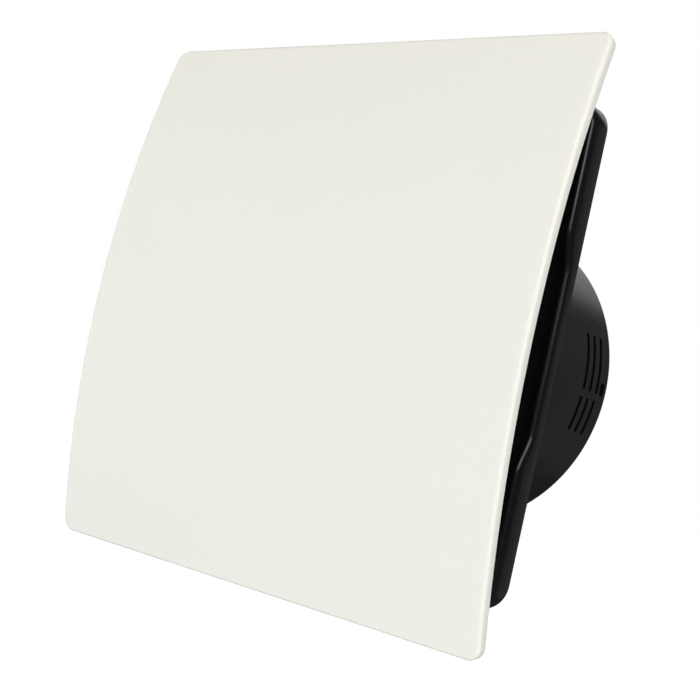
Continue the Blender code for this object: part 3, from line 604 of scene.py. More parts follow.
BLACK = (0.006, 0.006, 0.0065)
MATERIALS = {
    "gloss_white": gloss_white(),
    "black_plastic": black_plastic("black_plastic_satin", BLACK, 0.27, 0.32 * MM, 0.006 * MM),
    "black_tray": black_plastic("black_plastic_tray", BLACK, 0.20, 0.32 * MM, 0.003 * MM),
    "black_impeller": black_plastic("black_plastic_rotor", (0.014, 0.014, 0.015), 0.38, 0.28 * MM,
                                    0.006 * MM),
    "grey_plastic": black_plastic("grey_plastic", (0.09, 0.09, 0.10), 0.46, 0.4 * MM, 0.012 * MM),
    "pale_plastic": pale_plastic(),
    "lead_sheath": rubbery("lead_sheath", (0.07, 0.07, 0.078), 0.48),
    "rubber": rubbery("grommet_rubber", (0.022, 0.022, 0.022), 0.72),
    "steel": plated_steel(),
    "dark_steel": notch_shade_steel(),
    "lamination": laminated(),
    "copper": copper_winding(),
    "bronze": bronze_bush(),
}


# ---- Front panel ----


def panel_point(x, z, depth):
    """A point of the panel: z is measured along its front face, depth from that face inwards."""
    half = PANEL_SIDE / 2
    radius = (PANEL_BULGE**2 + half**2) / (2 * PANEL_BULGE)
    centre_y = PANEL_EDGE_Y + radius - PANEL_BULGE
    angle = asin(z / radius)
    return (x, centre_y - (radius - depth) * cos(angle), (radius - depth) * sin(angle))


def panel_half_outline(inset, rows=56, corner_steps=10):
    """The right half of the panel's outline, from the bottom edge up to the top edge."""
    half = PANEL_SIDE / 2 - inset
    radius = PANEL_CORNER - inset
    straight = half - radius
    points = arc((straight, -straight), radius, -90, 0, corner_steps)
    points += [(half, -straight + 2 * straight * i / rows) for i in range(1, rows)]
    return points + arc((straight, straight), radius, 0, 90, corner_steps)


def panel_sections():
    """(inset, depth) of each loop round the plate, from the front face to the back."""
    front, back = PANEL_FRONT_ROUND, PANEL_BACK_ROUND
    sections = [(front + 0.7 * MM, 0.0)]
    sections += [(front * rise, front * run) for run, rise in quarter_round(7)]
    sections += [(back * run, PANEL_THICKNESS - back * rise) for run, rise in quarter_round(3)]
    return sections + [(back + 0.7 * MM, PANEL_THICKNESS)]


def make_front_panel():
    rings = []
    for inset, depth in panel_sections():
        right = panel_half_outline(inset)
        points = right + [(-x, z) for x, z in reversed(right)]
        rings.append([panel_point(x, z, depth) for x, z in points])
    bm = bmesh.new()
    loops = add_rings(bm, rings)
    for loop in (loops[0], loops[-1]):
        for i in range(len(loop) // 2 - 1):
            bm.faces.new((loop[i], loop[i + 1], loop[-2 - i], loop[-1 - i]))
    panel = new_object("panel", bm)
    inside = panel_point(0.0, PEG_XZ, PANEL_THICKNESS)[1] - 1.2 * MM
    profile = [(0.0, inside), (6.2 * MM, inside), (4.9 * MM, inside + 2.6 * MM),
               (4.5 * MM, BOSS_END - 0.4 * MM), (4.1 * MM, BOSS_END), (0.0, BOSS_END)]
    join(panel, *[turned("boss", profile, 40, place) for place in PEG_PLACES])
    for upright in (True, False):
        join(panel, *[panel_rib(at, upright) for at in (-PEG_XZ, 0.0, PEG_XZ)])
    bore = (BOSS_END - 7 * MM, BOSS_END + MM)
    cut(panel, *[rod("bore", 2.8 * MM, bore, place, 28) for place in PEG_PLACES])
    piece(panel, "front_panel_shell", "front_panel", body="panel", slot="gloss_white")


def panel_rib(at, upright):
    """A low stiffening rib on the back of the plate, fading out at its ends."""
    steps, top = (40, 1.9 * MM) if upright else (24, 1.7 * MM)
    rings = []
    for i in range(steps + 1):
        along = -RIB_REACH + 2 * RIB_REACH * i / steps
        height = top * smooth_step((RIB_REACH - abs(along)) / (6 * MM)) + 0.05 * MM
        ring = []
        for aside, up in ((-0.9 * MM, -0.6 * MM), (0.9 * MM, -0.6 * MM), (0.6 * MM, height),
                          (-0.6 * MM, height)):
            place = (at + aside, along) if upright else (along, at + aside)
            ring.append(panel_point(*place, PANEL_THICKNESS + up))
        rings.append(ring)
    return lofted("rib", rings)


def make_panel_pegs():
    """Split snap pegs: the upper end sits in the panel's boss, the bulb in the tray's socket."""
    profile = in_mm([
        (0, -6.4), (2.2, -6.4), (2.5, -6.1), (2.5, 0.3), (3.8, 0.3), (4, 0.5), (4, 1.3), (3.8, 1.5),
        (2.5, 1.5), (2.2, 1.9), (2, 7.4), (2.25, 8), (2.55, 8.7), (2.6, 9.1), (2.4, 9.7),
        (1.6, 10.6), (1.3, 10.8), (0, 10.8)], BOSS_END)
    for number, (x, z) in enumerate(PEG_PLACES, 1):
        peg = turned("peg", profile, 32, (x, z), BLADE_PHASE)
        outline = rounded_outline(about(x, 0.4 * MM), about(z, 4 * MM), 0.1 * MM, 2)
        cut(peg, extruded("slit", outline, (BOSS_END + 3 * MM, BOSS_END + 12 * MM)))
        piece(peg, f"snap_peg_{number}", f"panel_peg_{number}", body="panel")


# ---- Base frame ----


def rim_height(along):
    share = smooth_step((abs(along) - RIM_DIP_INNER) / (RIM_DIP_OUTER - RIM_DIP_INNER))
    return RIM_LOW + (RIM_HIGH - RIM_LOW) * share


def frame_loop(inset, start, share=0.0, bends=14, corner_steps=12):
    """A loop round the frame, inset from its outside, at start less a share of the rim's height."""
    half = FRAME_SIDE / 2 - inset
    radius = FRAME_CORNER - inset
    straight = half - radius
    span = RIM_DIP_OUTER - RIM_DIP_INNER
    steps = [RIM_DIP_INNER + span * i / bends for i in range(bends + 1)]
    stops = [-step for step in reversed(steps)] + [0.0] + steps
    loop = []
    for quarter in range(4):
        turn = quarter * pi / 2
        points = [(half, stop, rim_height(stop)) for stop in stops]
        corner = arc((straight, straight), radius, 0, 90, corner_steps)
        points += [(u, v, RIM_HIGH) for u, v in corner]
        for u, v, height in points:
            x = u * cos(turn) - v * sin(turn)
            z = u * sin(turn) + v * cos(turn)
            loop.append((x, start - height * share, z))
    return loop


def frame_loops():
    """Loops from the rear face, up the outside, over the rim and down to the floor."""
    rear, outer, inner, fillet = 0.35 * MM, RIM_OUTER_ROUND, RIM_INNER_ROUND, 1 * MM
    loops = [frame_loop(rear, 0.0), frame_loop(rear * 0.3, -rear * 0.3), frame_loop(0.0, -rear)]
    loops += [frame_loop(DRAFT + (outer - DRAFT) * run, 0.0, 1 - RIM_ROUND_SHARE * rise)
              for run, rise in quarter_round(12)]
    loops += [frame_loop(FRAME_WALL - inner * rise, inner * run, 1.0)
              for run, rise in quarter_round(3)]
    return loops + [frame_loop(FRAME_WALL + fillet * run, -FRAME_FLOOR - fillet * rise)
                    for run, rise in quarter_round(4)]


def make_base_frame():
    base = lofted("frame", frame_loops())
    profile = [(0.0, FLOOR_ROOT), (5.8 * MM, FLOOR_ROOT), (5.6 * MM, -FRAME_FLOOR - 0.2 * MM),
               (5 * MM, -FRAME_FLOOR - 0.9 * MM), (4.8 * MM, -FRAME_FLOOR - 1.8 * MM),
               (4.7 * MM, SOCKET_TOP + 0.4 * MM), (4.3 * MM, SOCKET_TOP), (0.0, SOCKET_TOP)]
    raised = [turned("socket", profile, 40, place) for place in PEG_PLACES]
    raised += [rod("post", 1.8 * MM, (-5 * MM, FLOOR_ROOT), (CLAMP_X, z), 24)
               for z in CLAMP_SCREW_Z]
    raised += [block("pad", about(x, 3.6 * MM), (-3.2 * MM, FLOOR_ROOT), about(z, 5.6 * MM),
                     3.5 * MM, 0.25 * MM, 8) for x, z in FIXING_PLACES]
    join(base, *raised)
    join(base, bay_wall())
    join(base, *floor_ribs())
    cut(base, *frame_holes())
    cut(base, *rear_pockets())
    piece(base, "base_tray", "base_frame", look="black_tray")


def bay_wall():
    """A low wall round the terminal compartment, with round corners."""
    rings = []
    edge = BAY_TOP + 0.25 * MM
    for inset, depth in ((0, FLOOR_ROOT), (0, edge), (0.25 * MM, BAY_TOP), (1.35 * MM, BAY_TOP),
                         (1.6 * MM, edge), (1.6 * MM, FLOOR_ROOT)):
        outline = rounded_outline(inward(BAY_X, inset), inward(BAY_Z, inset), 2 * MM - inset, 4)
        rings.append(level(outline, depth))
    return hollow_ring("bay_wall", rings)


def floor_ribs():
    """Low ribs from the duct hole towards the corners' sockets."""
    outline = in_mm([(64.5, -0.55), (76.5, -0.45), (76.5, 0.45), (64.5, 0.55)])
    return around((32, 58, 122, 148, 302, 328), extruded, "rib", outline, (-4.4 * MM, FLOOR_ROOT))


def countersunk_slot(x, z, half_width, half_length):
    """A cutter for a fixing slot, with a shallow countersink on the room side."""
    rings = []
    for depth, grow in ((-3.6 * MM, 0.9), (-3.2 * MM, 0.75), (-2.3 * MM, 0.0), (1 * MM, 0.0)):
        w, h = half_width + grow * MM, half_length + grow * MM
        outline = rounded_outline(about(x, w), about(z, h), w - 0.01 * MM, 8)
        rings.append(level(outline, depth))
    return lofted("fixing_slot", rings)


def frame_holes():
    through = (-5 * MM, MM)
    holes = [rod("duct_hole", SPIGOT_R + 0.3 * MM, (-20 * MM, 5 * MM), sides=TUBE_SIDES)]
    profile = [(0.0, SOCKET_TOP - MM), (3.9 * MM, SOCKET_TOP - MM),
               (2.95 * MM, SOCKET_TOP + 0.7 * MM), (2.95 * MM, -3 * MM), (0.0, -3 * MM)]
    holes += [turned("socket_bore", profile, 32, place) for place in PEG_PLACES]
    holes += [countersunk_slot(x, z, 2 * MM, 4 * MM) for x, z in FIXING_PLACES]
    holes += around(QUARTERS, rod, "ear_hole", SCREW_BORE, through, (EAR_SCREW_R, 0.0), 20)
    holes += [rod("post_bore", 1.2 * MM, (-6 * MM, -2 * MM), (CLAMP_X, z), 16)
              for z in CLAMP_SCREW_Z]
    x, _, z = lead_route()[1]
    return holes + [rod("cable_hole", 4 * MM, through, CABLE_ENTRY, 32),
                    rod("lead_hole", 2.3 * MM, through, beside_arm(65.4 * MM), 24),
                    block("lead_notch", about(x, 2.2 * MM), (BAY_TOP - MM, -3 * MM),
                          about(z, 2.5 * MM), 0.5 * MM, 0.4 * MM)]


def rear_pockets():
    """Shallow moulded recesses in the rear face, one along each side, for a foam seal."""
    return around(QUARTERS, block, "pocket", (73.6 * MM, 77.2 * MM), (-0.7 * MM, 1 * MM),
                  (-66 * MM, 66 * MM), 1.2 * MM, 0.15 * MM)


# ---- Duct spigot and inlet ring ----


def flare_point(degrees):
    """A point (r, y) of the bell mouth: 0 degrees is in the tube, 90 at the mouth's front."""
    angle = radians(degrees)
    flare = MOUTH_R - SPIGOT_INNER
    return (MOUTH_R - flare * cos(angle), -MOUTH_DEPTH * sin(angle))


def sector(angles, depths, inner, outer, steps=12):
    """A cutter through the tube's wall between two angles (degrees) and two depths."""
    near, far = depths
    rings = []
    for i in range(steps + 1):
        angle = radians(angles[0] + (angles[1] - angles[0]) * i / steps)
        rings.append([(radius * cos(angle), depth, radius * sin(angle)) for radius, depth in
                      ((inner, near), (outer, near), (outer, far), (inner, far))])
    return lofted("sector", rings)


def make_duct_spigot():
    inner, outer, end, edge = SPIGOT_INNER, SPIGOT_R, SPIGOT_LENGTH, 0.2 * MM
    profile = [(inner, SEAT[0] - 0.6 * MM), (SEAT_R + edge, SEAT[0]), (SEAT_R, SEAT[0] + edge),
               (SEAT_R, SEAT[1] - edge), (SEAT_R + edge, SEAT[1]), (inner, SEAT[1]),
               (inner, end - 0.4 * MM), (inner + 0.4 * MM, end), (outer - 0.7 * MM, end),
               (outer - 0.4 * MM, end - 0.1 * MM), (outer - 0.1 * MM, end - 0.4 * MM),
               (outer, end - 0.8 * MM), (outer, LIP[1]), (LIP_R - edge, LIP[1]),
               (LIP_R, LIP[1] - edge), (LIP_R, LIP[0] + edge), (LIP_R - edge, LIP[0]),
               (flare_point(33)[0], LIP[0])]
    profile += [flare_point(degrees) for degrees in (24, 16, 8, 0)]
    spigot = turned("spigot", profile, TUBE_SIDES)
    join(spigot, *around(ARM_ANGLES, block, "lug", (49.5 * MM, inner + 0.6 * MM),
                         (36.5 * MM, 41.7 * MM), (-3 * MM, 3 * MM), 0.5 * MM, 0.3 * MM))
    bores = around(ARM_ANGLES, rod, "lug_bore", SCREW_BORE, (38 * MM, 43 * MM),
                   (CRADLE_SCREW_R, 0.0), 20)
    cut(spigot, *bores, *spigot_slots())
    round_off(spigot, (inner, outer))
    piece(spigot, "duct_tube", "duct_spigot")


def spigot_slots():
    """Cutters for the slots and the axle's notches on both sides, and for the lead's window."""
    inner, outer = SPIGOT_INNER - 1 * MM, SPIGOT_R + 1 * MM
    notch = in_degrees(NOTCH[1] / 2 / SPIGOT_R)
    holes = []
    for side in (0, 180):
        for depth in SLOT_DEPTHS:
            for low, high in SLOT_SPANS:
                angles = (low, high) if side == 0 else (side - high, side - low)
                holes.append(sector(angles, about(depth, SLOT_WIDTH / 2), inner, outer))
        holes.append(sector(about(side, notch), about(AXLE_Y, NOTCH[0] / 2), SEAT_R - 1 * MM,
                            outer, 4))
    x, z = beside_arm(57 * MM)
    holes.append(block("lead_window", about(x, 4 * MM), (42.8 * MM, 47.2 * MM), about(z, 2.2 * MM),
                       0.6 * MM, 0.5 * MM))
    return holes


def make_inlet_ring():
    """The bell mouth, rolled over at its front, with four screw ears."""
    base, front, start = LIP[0] - 0.3 * MM, -MOUTH_DEPTH, flare_point(33)[0]
    profile = [flare_point(33 + 57 * i / 10) for i in range(1, 11)]
    profile += [(MOUTH_R + 0.35 * MM, front + 0.1 * MM), (RING_R - 0.1 * MM, front + 0.35 * MM),
                (RING_R, front + 0.7 * MM), (RING_R, EAR[1]), (RING_SKIRT_R, EAR[1]),
                (RING_SKIRT_R, base), (start, base)]
    ring = turned("ring", profile, TUBE_SIDES)
    join(ring, *around(QUARTERS, make_ear))
    cut(ring, *around(QUARTERS, rod, "ear_bore", SCREW_BORE, (-7 * MM, 0), (EAR_SCREW_R, 0), 20))
    piece(ring, "bell_mouth_ring", "inlet_ring")


def make_ear():
    """A screw ear: parallel sides and a round end."""
    root, half = RING_R - 0.6 * MM, 3.5 * MM
    tip = arc((EAR_SCREW_R, 0.0), half, -90, 90, 16)
    ear = extruded("ear", [(root, -half)] + tip + [(root, half)], EAR)
    bevel(ear, 0.25 * MM, 2, 60)
    return ear


# ---- Screws ----


def make_screw(name, node, place, head_y, tip_y):
    """A pan-head screw along Y with a cross recess and a threaded shank."""
    head_r, shank_r, pitch = 2.5 * MM, 1.15 * MM, 0.8 * MM
    outward = -1 if head_y < tip_y else 1
    height = head_r * 0.65
    profile = [(0.0, head_y + outward * height)]
    for degrees in (72, 50, 30, 14, 0):
        angle = radians(degrees)
        profile.append((head_r * (0.35 + 0.65 * cos(angle)) if degrees > 60 else
                        head_r * cos(angle * 0.75), head_y + outward * height * sin(angle)))
    profile.append((shank_r, head_y))
    for i in range(int(abs(tip_y - head_y) / pitch) - 1):
        start = head_y - outward * (0.5 * MM + i * pitch)
        profile += [(shank_r * 0.82, start), (shank_r, start - outward * pitch * 0.5)]
    profile += [(shank_r * 0.8, tip_y + outward * 0.5 * MM), (shank_r * 0.3, tip_y), (0.0, tip_y)]
    screw = turned("screw", profile, 28, place)
    top = head_y + outward * height
    arm, half = head_r * 0.56, head_r * 0.13
    cross = [(arm, -half), (arm, half), (half, half)]
    for _ in range(3):
        cross += [(-z, x) for x, z in cross[-3:]]
    rings = []
    for depth, size in ((0.4 * MM, 1.0), (-0.1 * MM, 0.95), (-0.62 * height, 0.45)):
        rings.append([(place[0] + x * size, top + outward * depth, place[1] + z * size)
                      for x, z in cross])
    cut(screw, lofted("recess", rings))
    piece(screw, name, node, slot="steel")


def make_screws():
    for number, angle in enumerate(QUARTERS, 1):
        make_screw(f"ear_screw_{number}", f"ring_screw_{number}", polar(EAR_SCREW_R, angle),
                   EAR[0] - 0.3 * MM, -0.5 * MM)
    for number, angle in enumerate(ARM_ANGLES, 1):
        make_screw(f"arm_screw_{number}", f"cradle_screw_{number}", polar(CRADLE_SCREW_R, angle),
                   48.3 * MM, 39 * MM)
    make_screw("cover_screw", "terminal_cover_screw", COVER_POST, COVER_TOP - 0.3 * MM,
               BAY_TOP - 0.4 * MM)


# ---- Motor cradle ----


def make_motor_cradle():
    near, far = CUP
    inner = CUP_R - CUP_WALL
    round_r = 3 * MM
    profile = [(0.0, far - 0.6 * MM), (7.6 * MM, far - 0.6 * MM), (8 * MM, far - 0.2 * MM),
               (8.4 * MM, far)]
    profile += arc((CUP_R - round_r, far - round_r), round_r, 90, 0, 8)
    profile += [(CUP_R, near + 0.3 * MM), (CUP_R - 0.3 * MM, near), (inner, near),
                (inner, far - CUP_WALL - MM), (inner - MM, far - CUP_WALL), (0.0, far - CUP_WALL)]
    cradle = turned("cradle", profile, CUP_SIDES)
    arms = around(ARM_ANGLES, block, "arm", (inner + 0.6 * MM, 55.8 * MM), (42 * MM, 48 * MM),
                  (-3 * MM, 3 * MM), 0.6 * MM, 0.7 * MM)
    posts = [rod("post", 2.7 * MM, (42.1 * MM, far - CUP_WALL + 0.6 * MM), (x, 0.0), 24)
             for x in POST_X]
    join(cradle, *arms, *posts)
    join(cradle, *around(ARM_ANGLES, block, "rib", (CUP_R - 0.8 * MM, 37 * MM),
                         (34 * MM, 42.8 * MM), (-1 * MM, 1 * MM), 0.4 * MM, 0.4 * MM))
    bores = around(ARM_ANGLES, rod, "arm_bore", SCREW_BORE, (41 * MM, 49 * MM),
                   (CRADLE_SCREW_R, 0.0), 20)
    bores += [rod("post_bore", 1.6 * MM, (41 * MM, 47 * MM), (x, 0.0), 20) for x in POST_X]
    x, z = beside_arm(28.2 * MM)
    bores.append(block("lead_window", (x - 3.4 * MM, x + 2.2 * MM), (43 * MM, 47 * MM),
                       (z - 3.4 * MM, z + 2.2 * MM), 0.5 * MM, 0.4 * MM))
    bores += around(range(15, 360, 30), block, "groove", (14 * MM, 24 * MM),
                    (far - 0.6 * MM, far + MM), (-0.7 * MM, 0.7 * MM), 0.65 * MM, 0.1 * MM)
    cut(cradle, *bores)
    piece(cradle, "motor_cup", "motor_cradle")


def make_motor_cap():
    near = CUP[0]
    top, under, end = near - 1.9 * MM, near - 0.3 * MM, near + 1.8 * MM
    lip = CUP_R - CUP_WALL - 0.3 * MM
    profile = [(3.2 * MM, under), (3.2 * MM, top + 0.2 * MM), (3.4 * MM, top), (5.8 * MM, top),
               (6.4 * MM, top + 0.4 * MM), (CUP_R - 2.2 * MM, top + 0.4 * MM),
               (CUP_R - 0.9 * MM, top + 0.6 * MM), (CUP_R - 0.2 * MM, near - 0.9 * MM),
               (CUP_R, near - 0.5 * MM), (CUP_R, under), (lip, under), (lip, end),
               (lip - 1.4 * MM, end), (lip - 1.4 * MM, under)]
    piece(turned("cap", profile, CUP_SIDES), "motor_cup_lid", "motor_cap")


# ---- Impeller ----


def blade_section(radius, phase):
    """One blade section, wrapped round a cylinder of this radius, with a round nose."""
    share = (radius - HUB_R) / (BLADE_TIP_R - HUB_R)
    chord = (21.0 + 11.0 * share) * MM
    stagger = radians(42.0 + 16.0 * share)
    camber = 0.09 - 0.02 * share
    middle_y = 6.6 * MM - 1.2 * MM * share
    top, under = [], []
    steps = 18
    for i in range(steps + 1):
        s = -0.5 * cos(pi * i / steps)
        lift = camber * (1 - 4 * s * s) * chord
        half = BLADE_THICKNESS / 2 * (0.12 + 0.88 * sqrt(max(1 - 4 * s * s, 0.0)))
        for side, points in ((1, top), (-1, under)):
            across = lift + side * half
            around = s * chord * sin(stagger) + across * cos(stagger)
            along = s * chord * cos(stagger) - across * sin(stagger)
            angle = phase + around / radius
            points.append((radius * cos(angle), middle_y + along, radius * sin(angle)))
    return top + list(reversed(under))


def make_impeller():
    wall = 1.8 * MM
    profile = in_mm([
        (1.8, -7), (2.2, -7.4), (6, -7.4), (9, -7.25), (12, -6.95), (15, -6.45), (18, -5.8), (21, -4.9),
        (23.5, -3.85), (25.5, -2.65), (27, -1.35), (28.1, 0.1), (28.75, 1.6), (29, 3.2)])
    profile += [(HUB_R, 15.6 * MM), (HUB_R - 0.4 * MM, 16 * MM), (HUB_R - wall, 16 * MM),
                (HUB_R - wall, 3.4 * MM)]
    profile += in_mm([(26, 0.6), (23, -1.8), (15.5, -4.2), (6, -5.2), (5, 12), (1.8, 12)])
    impeller = turned("impeller_hub", profile, 120)
    radii = [HUB_R - wall / 2] + [HUB_R + (BLADE_TIP_R - HUB_R) * i / 9 for i in range(1, 10)]
    blades = bmesh.new()
    for number in range(BLADE_COUNT):
        phase = BLADE_PHASE + 2 * pi * number / BLADE_COUNT
        add_loft(blades, [blade_section(radius, phase) for radius in radii])
    join(impeller, new_object("blades", blades))
    cut(impeller, *[rod("dimple", 1.6 * MM, (-9 * MM, -5.3 * MM), polar(17.5 * MM, degrees), 28)
                    for degrees in range(30, 360, 60)])
    piece(impeller, "fan_wheel", "impeller", body="spinner", slot="black_impeller")
    make_nut()


def make_nut():
    """A cap nut: a hexagon with a domed end."""
    hexagon = turned("nut", in_mm([(0, -12.6), (4.2, -12.6), (4.2, -7.7), (0, -7.7)]), 6)
    dome = [(0, -6.7), (4.4, -6.7), (4.4, -8.1), (4.1, -10.6)]
    dome += [(4.1 * cos(radians(a)), -10.6 - 2.0 * sin(radians(a))) for a in (15, 30, 45, 60, 75)]
    combine(hexagon, [turned("dome", in_mm(dome + [(0, -12.6)]), 40)], "INTERSECT")
    cut(hexagon, rod("bore", 2.2 * MM, (-10 * MM, -7 * MM), sides=24))
    piece(hexagon, "cap_nut", "impeller_nut", body="spinner", slot="steel")


# ---- Backdraft shutter ----


def make_shutter():
    half = SEAT_R - 0.5 * MM
    axle = cross_rod("axle", AXLE_R, (-half, half), (AXLE_Y, 0.0), 28, 0.15 * MM)
    tabs = []
    for side in (-1, 1):
        x = sorted((side * (half - 1.5 * MM), side * 57.2 * MM))
        tabs.append(block("tab", x, about(AXLE_Y, 0.75 * MM), (-1.8 * MM, 1.8 * MM), 0.6 * MM,
                          0.15 * MM))
    join(axle, *tabs)
    # the axle's near-black look is painted shade for its notch
    piece(axle, "shutter_pin", "shutter_axle", slot="steel", look="dark_steel")
    make_flap("upper", 1, UPPER_KNUCKLE)
    make_flap("lower", -1, LOWER_KNUCKLE)
    make_flap_spring("upper", 1)
    make_flap_spring("lower", -1)


def flap_outline(side, inset):
    radius = FLAP_R - inset
    start = asin((FLAP_ROOT + inset) / radius)
    angles = [start + (pi - 2 * start) * i / FLAP_STEPS for i in range(FLAP_STEPS + 1)]
    outline = [(radius * cos(angle), side * radius * sin(angle)) for angle in angles]
    window, depth = 9 * MM + inset, 6.4 * MM + inset
    root = FLAP_ROOT + inset
    return outline + [(-window, side * root), (-window, side * depth), (window, side * depth),
                      (window, side * root)]


def make_flap(label, side, knuckle):
    half = FLAP_THICKNESS / 2
    edge = 0.25 * MM
    rings = []
    for depth, inset in ((-half, edge), (-half + edge * 0.3, edge * 0.3), (-half + edge, 0.0),
                         (half - edge, 0.0), (half - edge * 0.3, edge * 0.3), (half, edge)):
        rings.append(level(flap_outline(side, inset), AXLE_Y + depth))
    flap = lofted("flap", rings)
    web_y = (AXLE_Y - half * 0.9, AXLE_Y + half * 0.9)
    web_z = sorted((side * 1.9 * MM, side * (FLAP_ROOT + 0.6 * MM)))
    webs, barrels, bores = [], [], []
    for middle in (-knuckle, knuckle):
        span = about(middle, KNUCKLE_LENGTH / 2)
        webs.append(extruded("web", [(span[0], web_z[0]), (span[1], web_z[0]), (span[1], web_z[1]),
                                     (span[0], web_z[1])], web_y))
        barrels.append(cross_rod("barrel", KNUCKLE_R, span, (AXLE_Y, 0.0), 40, 0.25 * MM))
        bores.append(cross_rod("bore", 1.55 * MM, (span[0] - MM, span[1] + MM), (AXLE_Y, 0.0), 32))
    join(flap, *webs)
    join(flap, *barrels)
    cut(flap, *bores)
    join(flap, *flap_ribs(side, half))
    piece(flap, f"backdraft_flap_{label}", f"shutter_flap_{label}", body=f"flap_{label}")


def flap_ribs(side, half):
    """Low stiffening ribs on the outlet face of a flap, clear of the spring's leg."""
    ribs = []
    for degrees in (38, 72, 108, 142):
        angle = radians(degrees)
        along = Vector((cos(angle), side * sin(angle)))
        across = Vector((-along.y, along.x)) * 0.45 * MM
        start, stop = along * 19 * MM, along * 48 * MM
        outline = [start - across, stop - across * 0.8, stop + across * 0.8, start + across]
        ribs.append(extruded("rib", [tuple(p) for p in outline],
                             (AXLE_Y + half - 0.2 * MM, AXLE_Y + half + 0.55 * MM)))
    return ribs


def make_flap_spring(label, side):
    wire, coil_r, turns, per_turn = 0.3 * MM, 1.95 * MM, 3, 28
    leg_y = FLAP_THICKNESS / 2 + 0.3 * MM + wire
    leg_angle = acos(leg_y / coil_r)
    route = []
    for i in range(turns * per_turn + 1):
        angle = leg_angle - 2 * pi * i / per_turn
        x = side * (2.2 * MM + 1.2 * MM * i / per_turn)
        route.append(Vector((x, AXLE_Y + coil_r * cos(angle), side * coil_r * sin(angle))))
    leg = [Vector((route[0].x, AXLE_Y + leg_y, side * reach * MM)) for reach in (13, 8, 4, 2.2)]
    spring = tube("spring", leg + route, wire, 10)
    piece(spring, f"torsion_spring_{label}", f"flap_spring_{label}", body=f"flap_{label}",
          slot="steel")


# ---- Electrical parts ----


def beside_arm(along):
    """The (x, z) of a place beside the lower left arm, this far out along it."""
    angle = radians(ARM_ANGLES[1])
    aside = 5.3 * MM
    return (along * cos(angle) - aside * sin(angle), along * sin(angle) + aside * cos(angle))


def lead_route():
    """From the terminals through the tray's floor, along the tube, and in beside the arm."""
    lead_y = 45 * MM
    out_x, out_z = beside_arm(65.4 * MM)
    tube_x, tube_z = beside_arm(60.3 * MM)
    return [
        (-50.2 * MM, -5.6 * MM, -59.7 * MM),
        (-50 * MM, -5.6 * MM, -58.3 * MM),
        (-48.6 * MM, -5.8 * MM, -54.6 * MM),
        (out_x - 2.6 * MM, -5.2 * MM, out_z - 1 * MM),
        (out_x - 0.4 * MM, -3 * MM, out_z),
        (out_x, 0.0, out_z),
        (tube_x - 1.2 * MM, 3.6 * MM, tube_z - 1.2 * MM),
        (tube_x, 8 * MM, tube_z),
        (tube_x, 22 * MM, tube_z),
        (tube_x, 38 * MM, tube_z),
        (beside_arm(60 * MM)[0], 42.6 * MM, beside_arm(60 * MM)[1]),
        (beside_arm(58 * MM)[0], lead_y, beside_arm(58 * MM)[1]),
        (beside_arm(54 * MM)[0], lead_y, beside_arm(54 * MM)[1]),
        (beside_arm(40 * MM)[0], lead_y, beside_arm(40 * MM)[1]),
        (beside_arm(25 * MM)[0], lead_y, beside_arm(25 * MM)[1]),
    ]


def make_terminals():
    cover = block("cover", BAY_X, (COVER_TOP, BAY_TOP - 0.3 * MM), BAY_Z, 2 * MM, 0.9 * MM)
    wall = 1.5 * MM
    hollow = block("hollow", inward(BAY_X, wall), (COVER_TOP + wall, BAY_TOP + MM),
                   inward(BAY_Z, wall), 0.8 * MM, 0.4 * MM)
    cut(cover, hollow)
    join(cover, rod("post", 2.4 * MM, (COVER_TOP + 0.6 * MM, BAY_TOP - MM), COVER_POST, 24))
    grips = [block("grip", about(-58 * MM + i * 2.4 * MM, 0.5 * MM), about(COVER_TOP, 0.4 * MM),
                   (-74 * MM, -61 * MM), 0.45 * MM, 0.1 * MM) for i in range(5)]
    cut(cover, rod("bore", SCREW_BORE, (COVER_TOP - MM, BAY_TOP), COVER_POST, 20), *grips)
    piece(cover, "terminal_lid", "terminal_cover")
    seal = in_mm([
        (0, -4.6), (1.4, -4.6), (1.8, -4.4), (2.6, -3.8), (4.8, -3.8), (5, -3.6), (5, -2.9),
        (4.8, -2.7), (3.7, -2.7), (3.7, -0.5), (3.4, -0.2), (2.4, -0.2), (2.2, -0.7), (1.6, -0.7),
        (1.4, -0.2), (0, -0.2)])
    piece(turned("grommet", seal, 40, CABLE_ENTRY), "entry_grommet", "cable_grommet",
          slot="rubber")
    lead = tube("lead", smooth_route(lead_route(), 6), 1.5 * MM, 20)
    piece(lead, "motor_wire", "motor_lead", slot="lead_sheath")


# ---- Studio ----


def aim(obj, place, target, roll=0.0):
    """Points an object's -Z at the target; a positive roll turns its top to the right."""
    ahead = (Vector(target) - Vector(place)).normalized()
    right = ahead.cross(Vector((0, 0, 1))).normalized()
    up = right.cross(ahead)
    angle = radians(roll)
    top = up * cos(angle) + right * sin(angle)
    side = ahead.cross(top)
    axes = Matrix((side, top, -ahead)).transposed()
    obj.matrix_world = Matrix.Translation(place) @ axes.to_4x4()


def make_camera():
    data = bpy.data.cameras.new("camera")
    data.lens = CAMERA_LENS
    data.sensor_width = 36.0
    data.clip_start = 0.01
    camera = add_object("camera", data)
    aim(camera, CAMERA_PLACE, CAMERA_AIM, CAMERA_ROLL)
    bpy.context.scene.camera = camera


def softbox(name, place, target, size, power, colour=(1.0, 1.0, 1.0), matte=True, shine=True):
    """A soft rectangular light; it can be kept out of matte light or out of reflections."""
    data = bpy.data.lights.new(name, "AREA")
    data.shape = "RECTANGLE"
    data.size, data.size_y = size
    data.energy = power
    data.color = colour
    light = add_object(name, data)
    light.visible_diffuse = matte
    light.visible_glossy = shine
    aim(light, place, target)


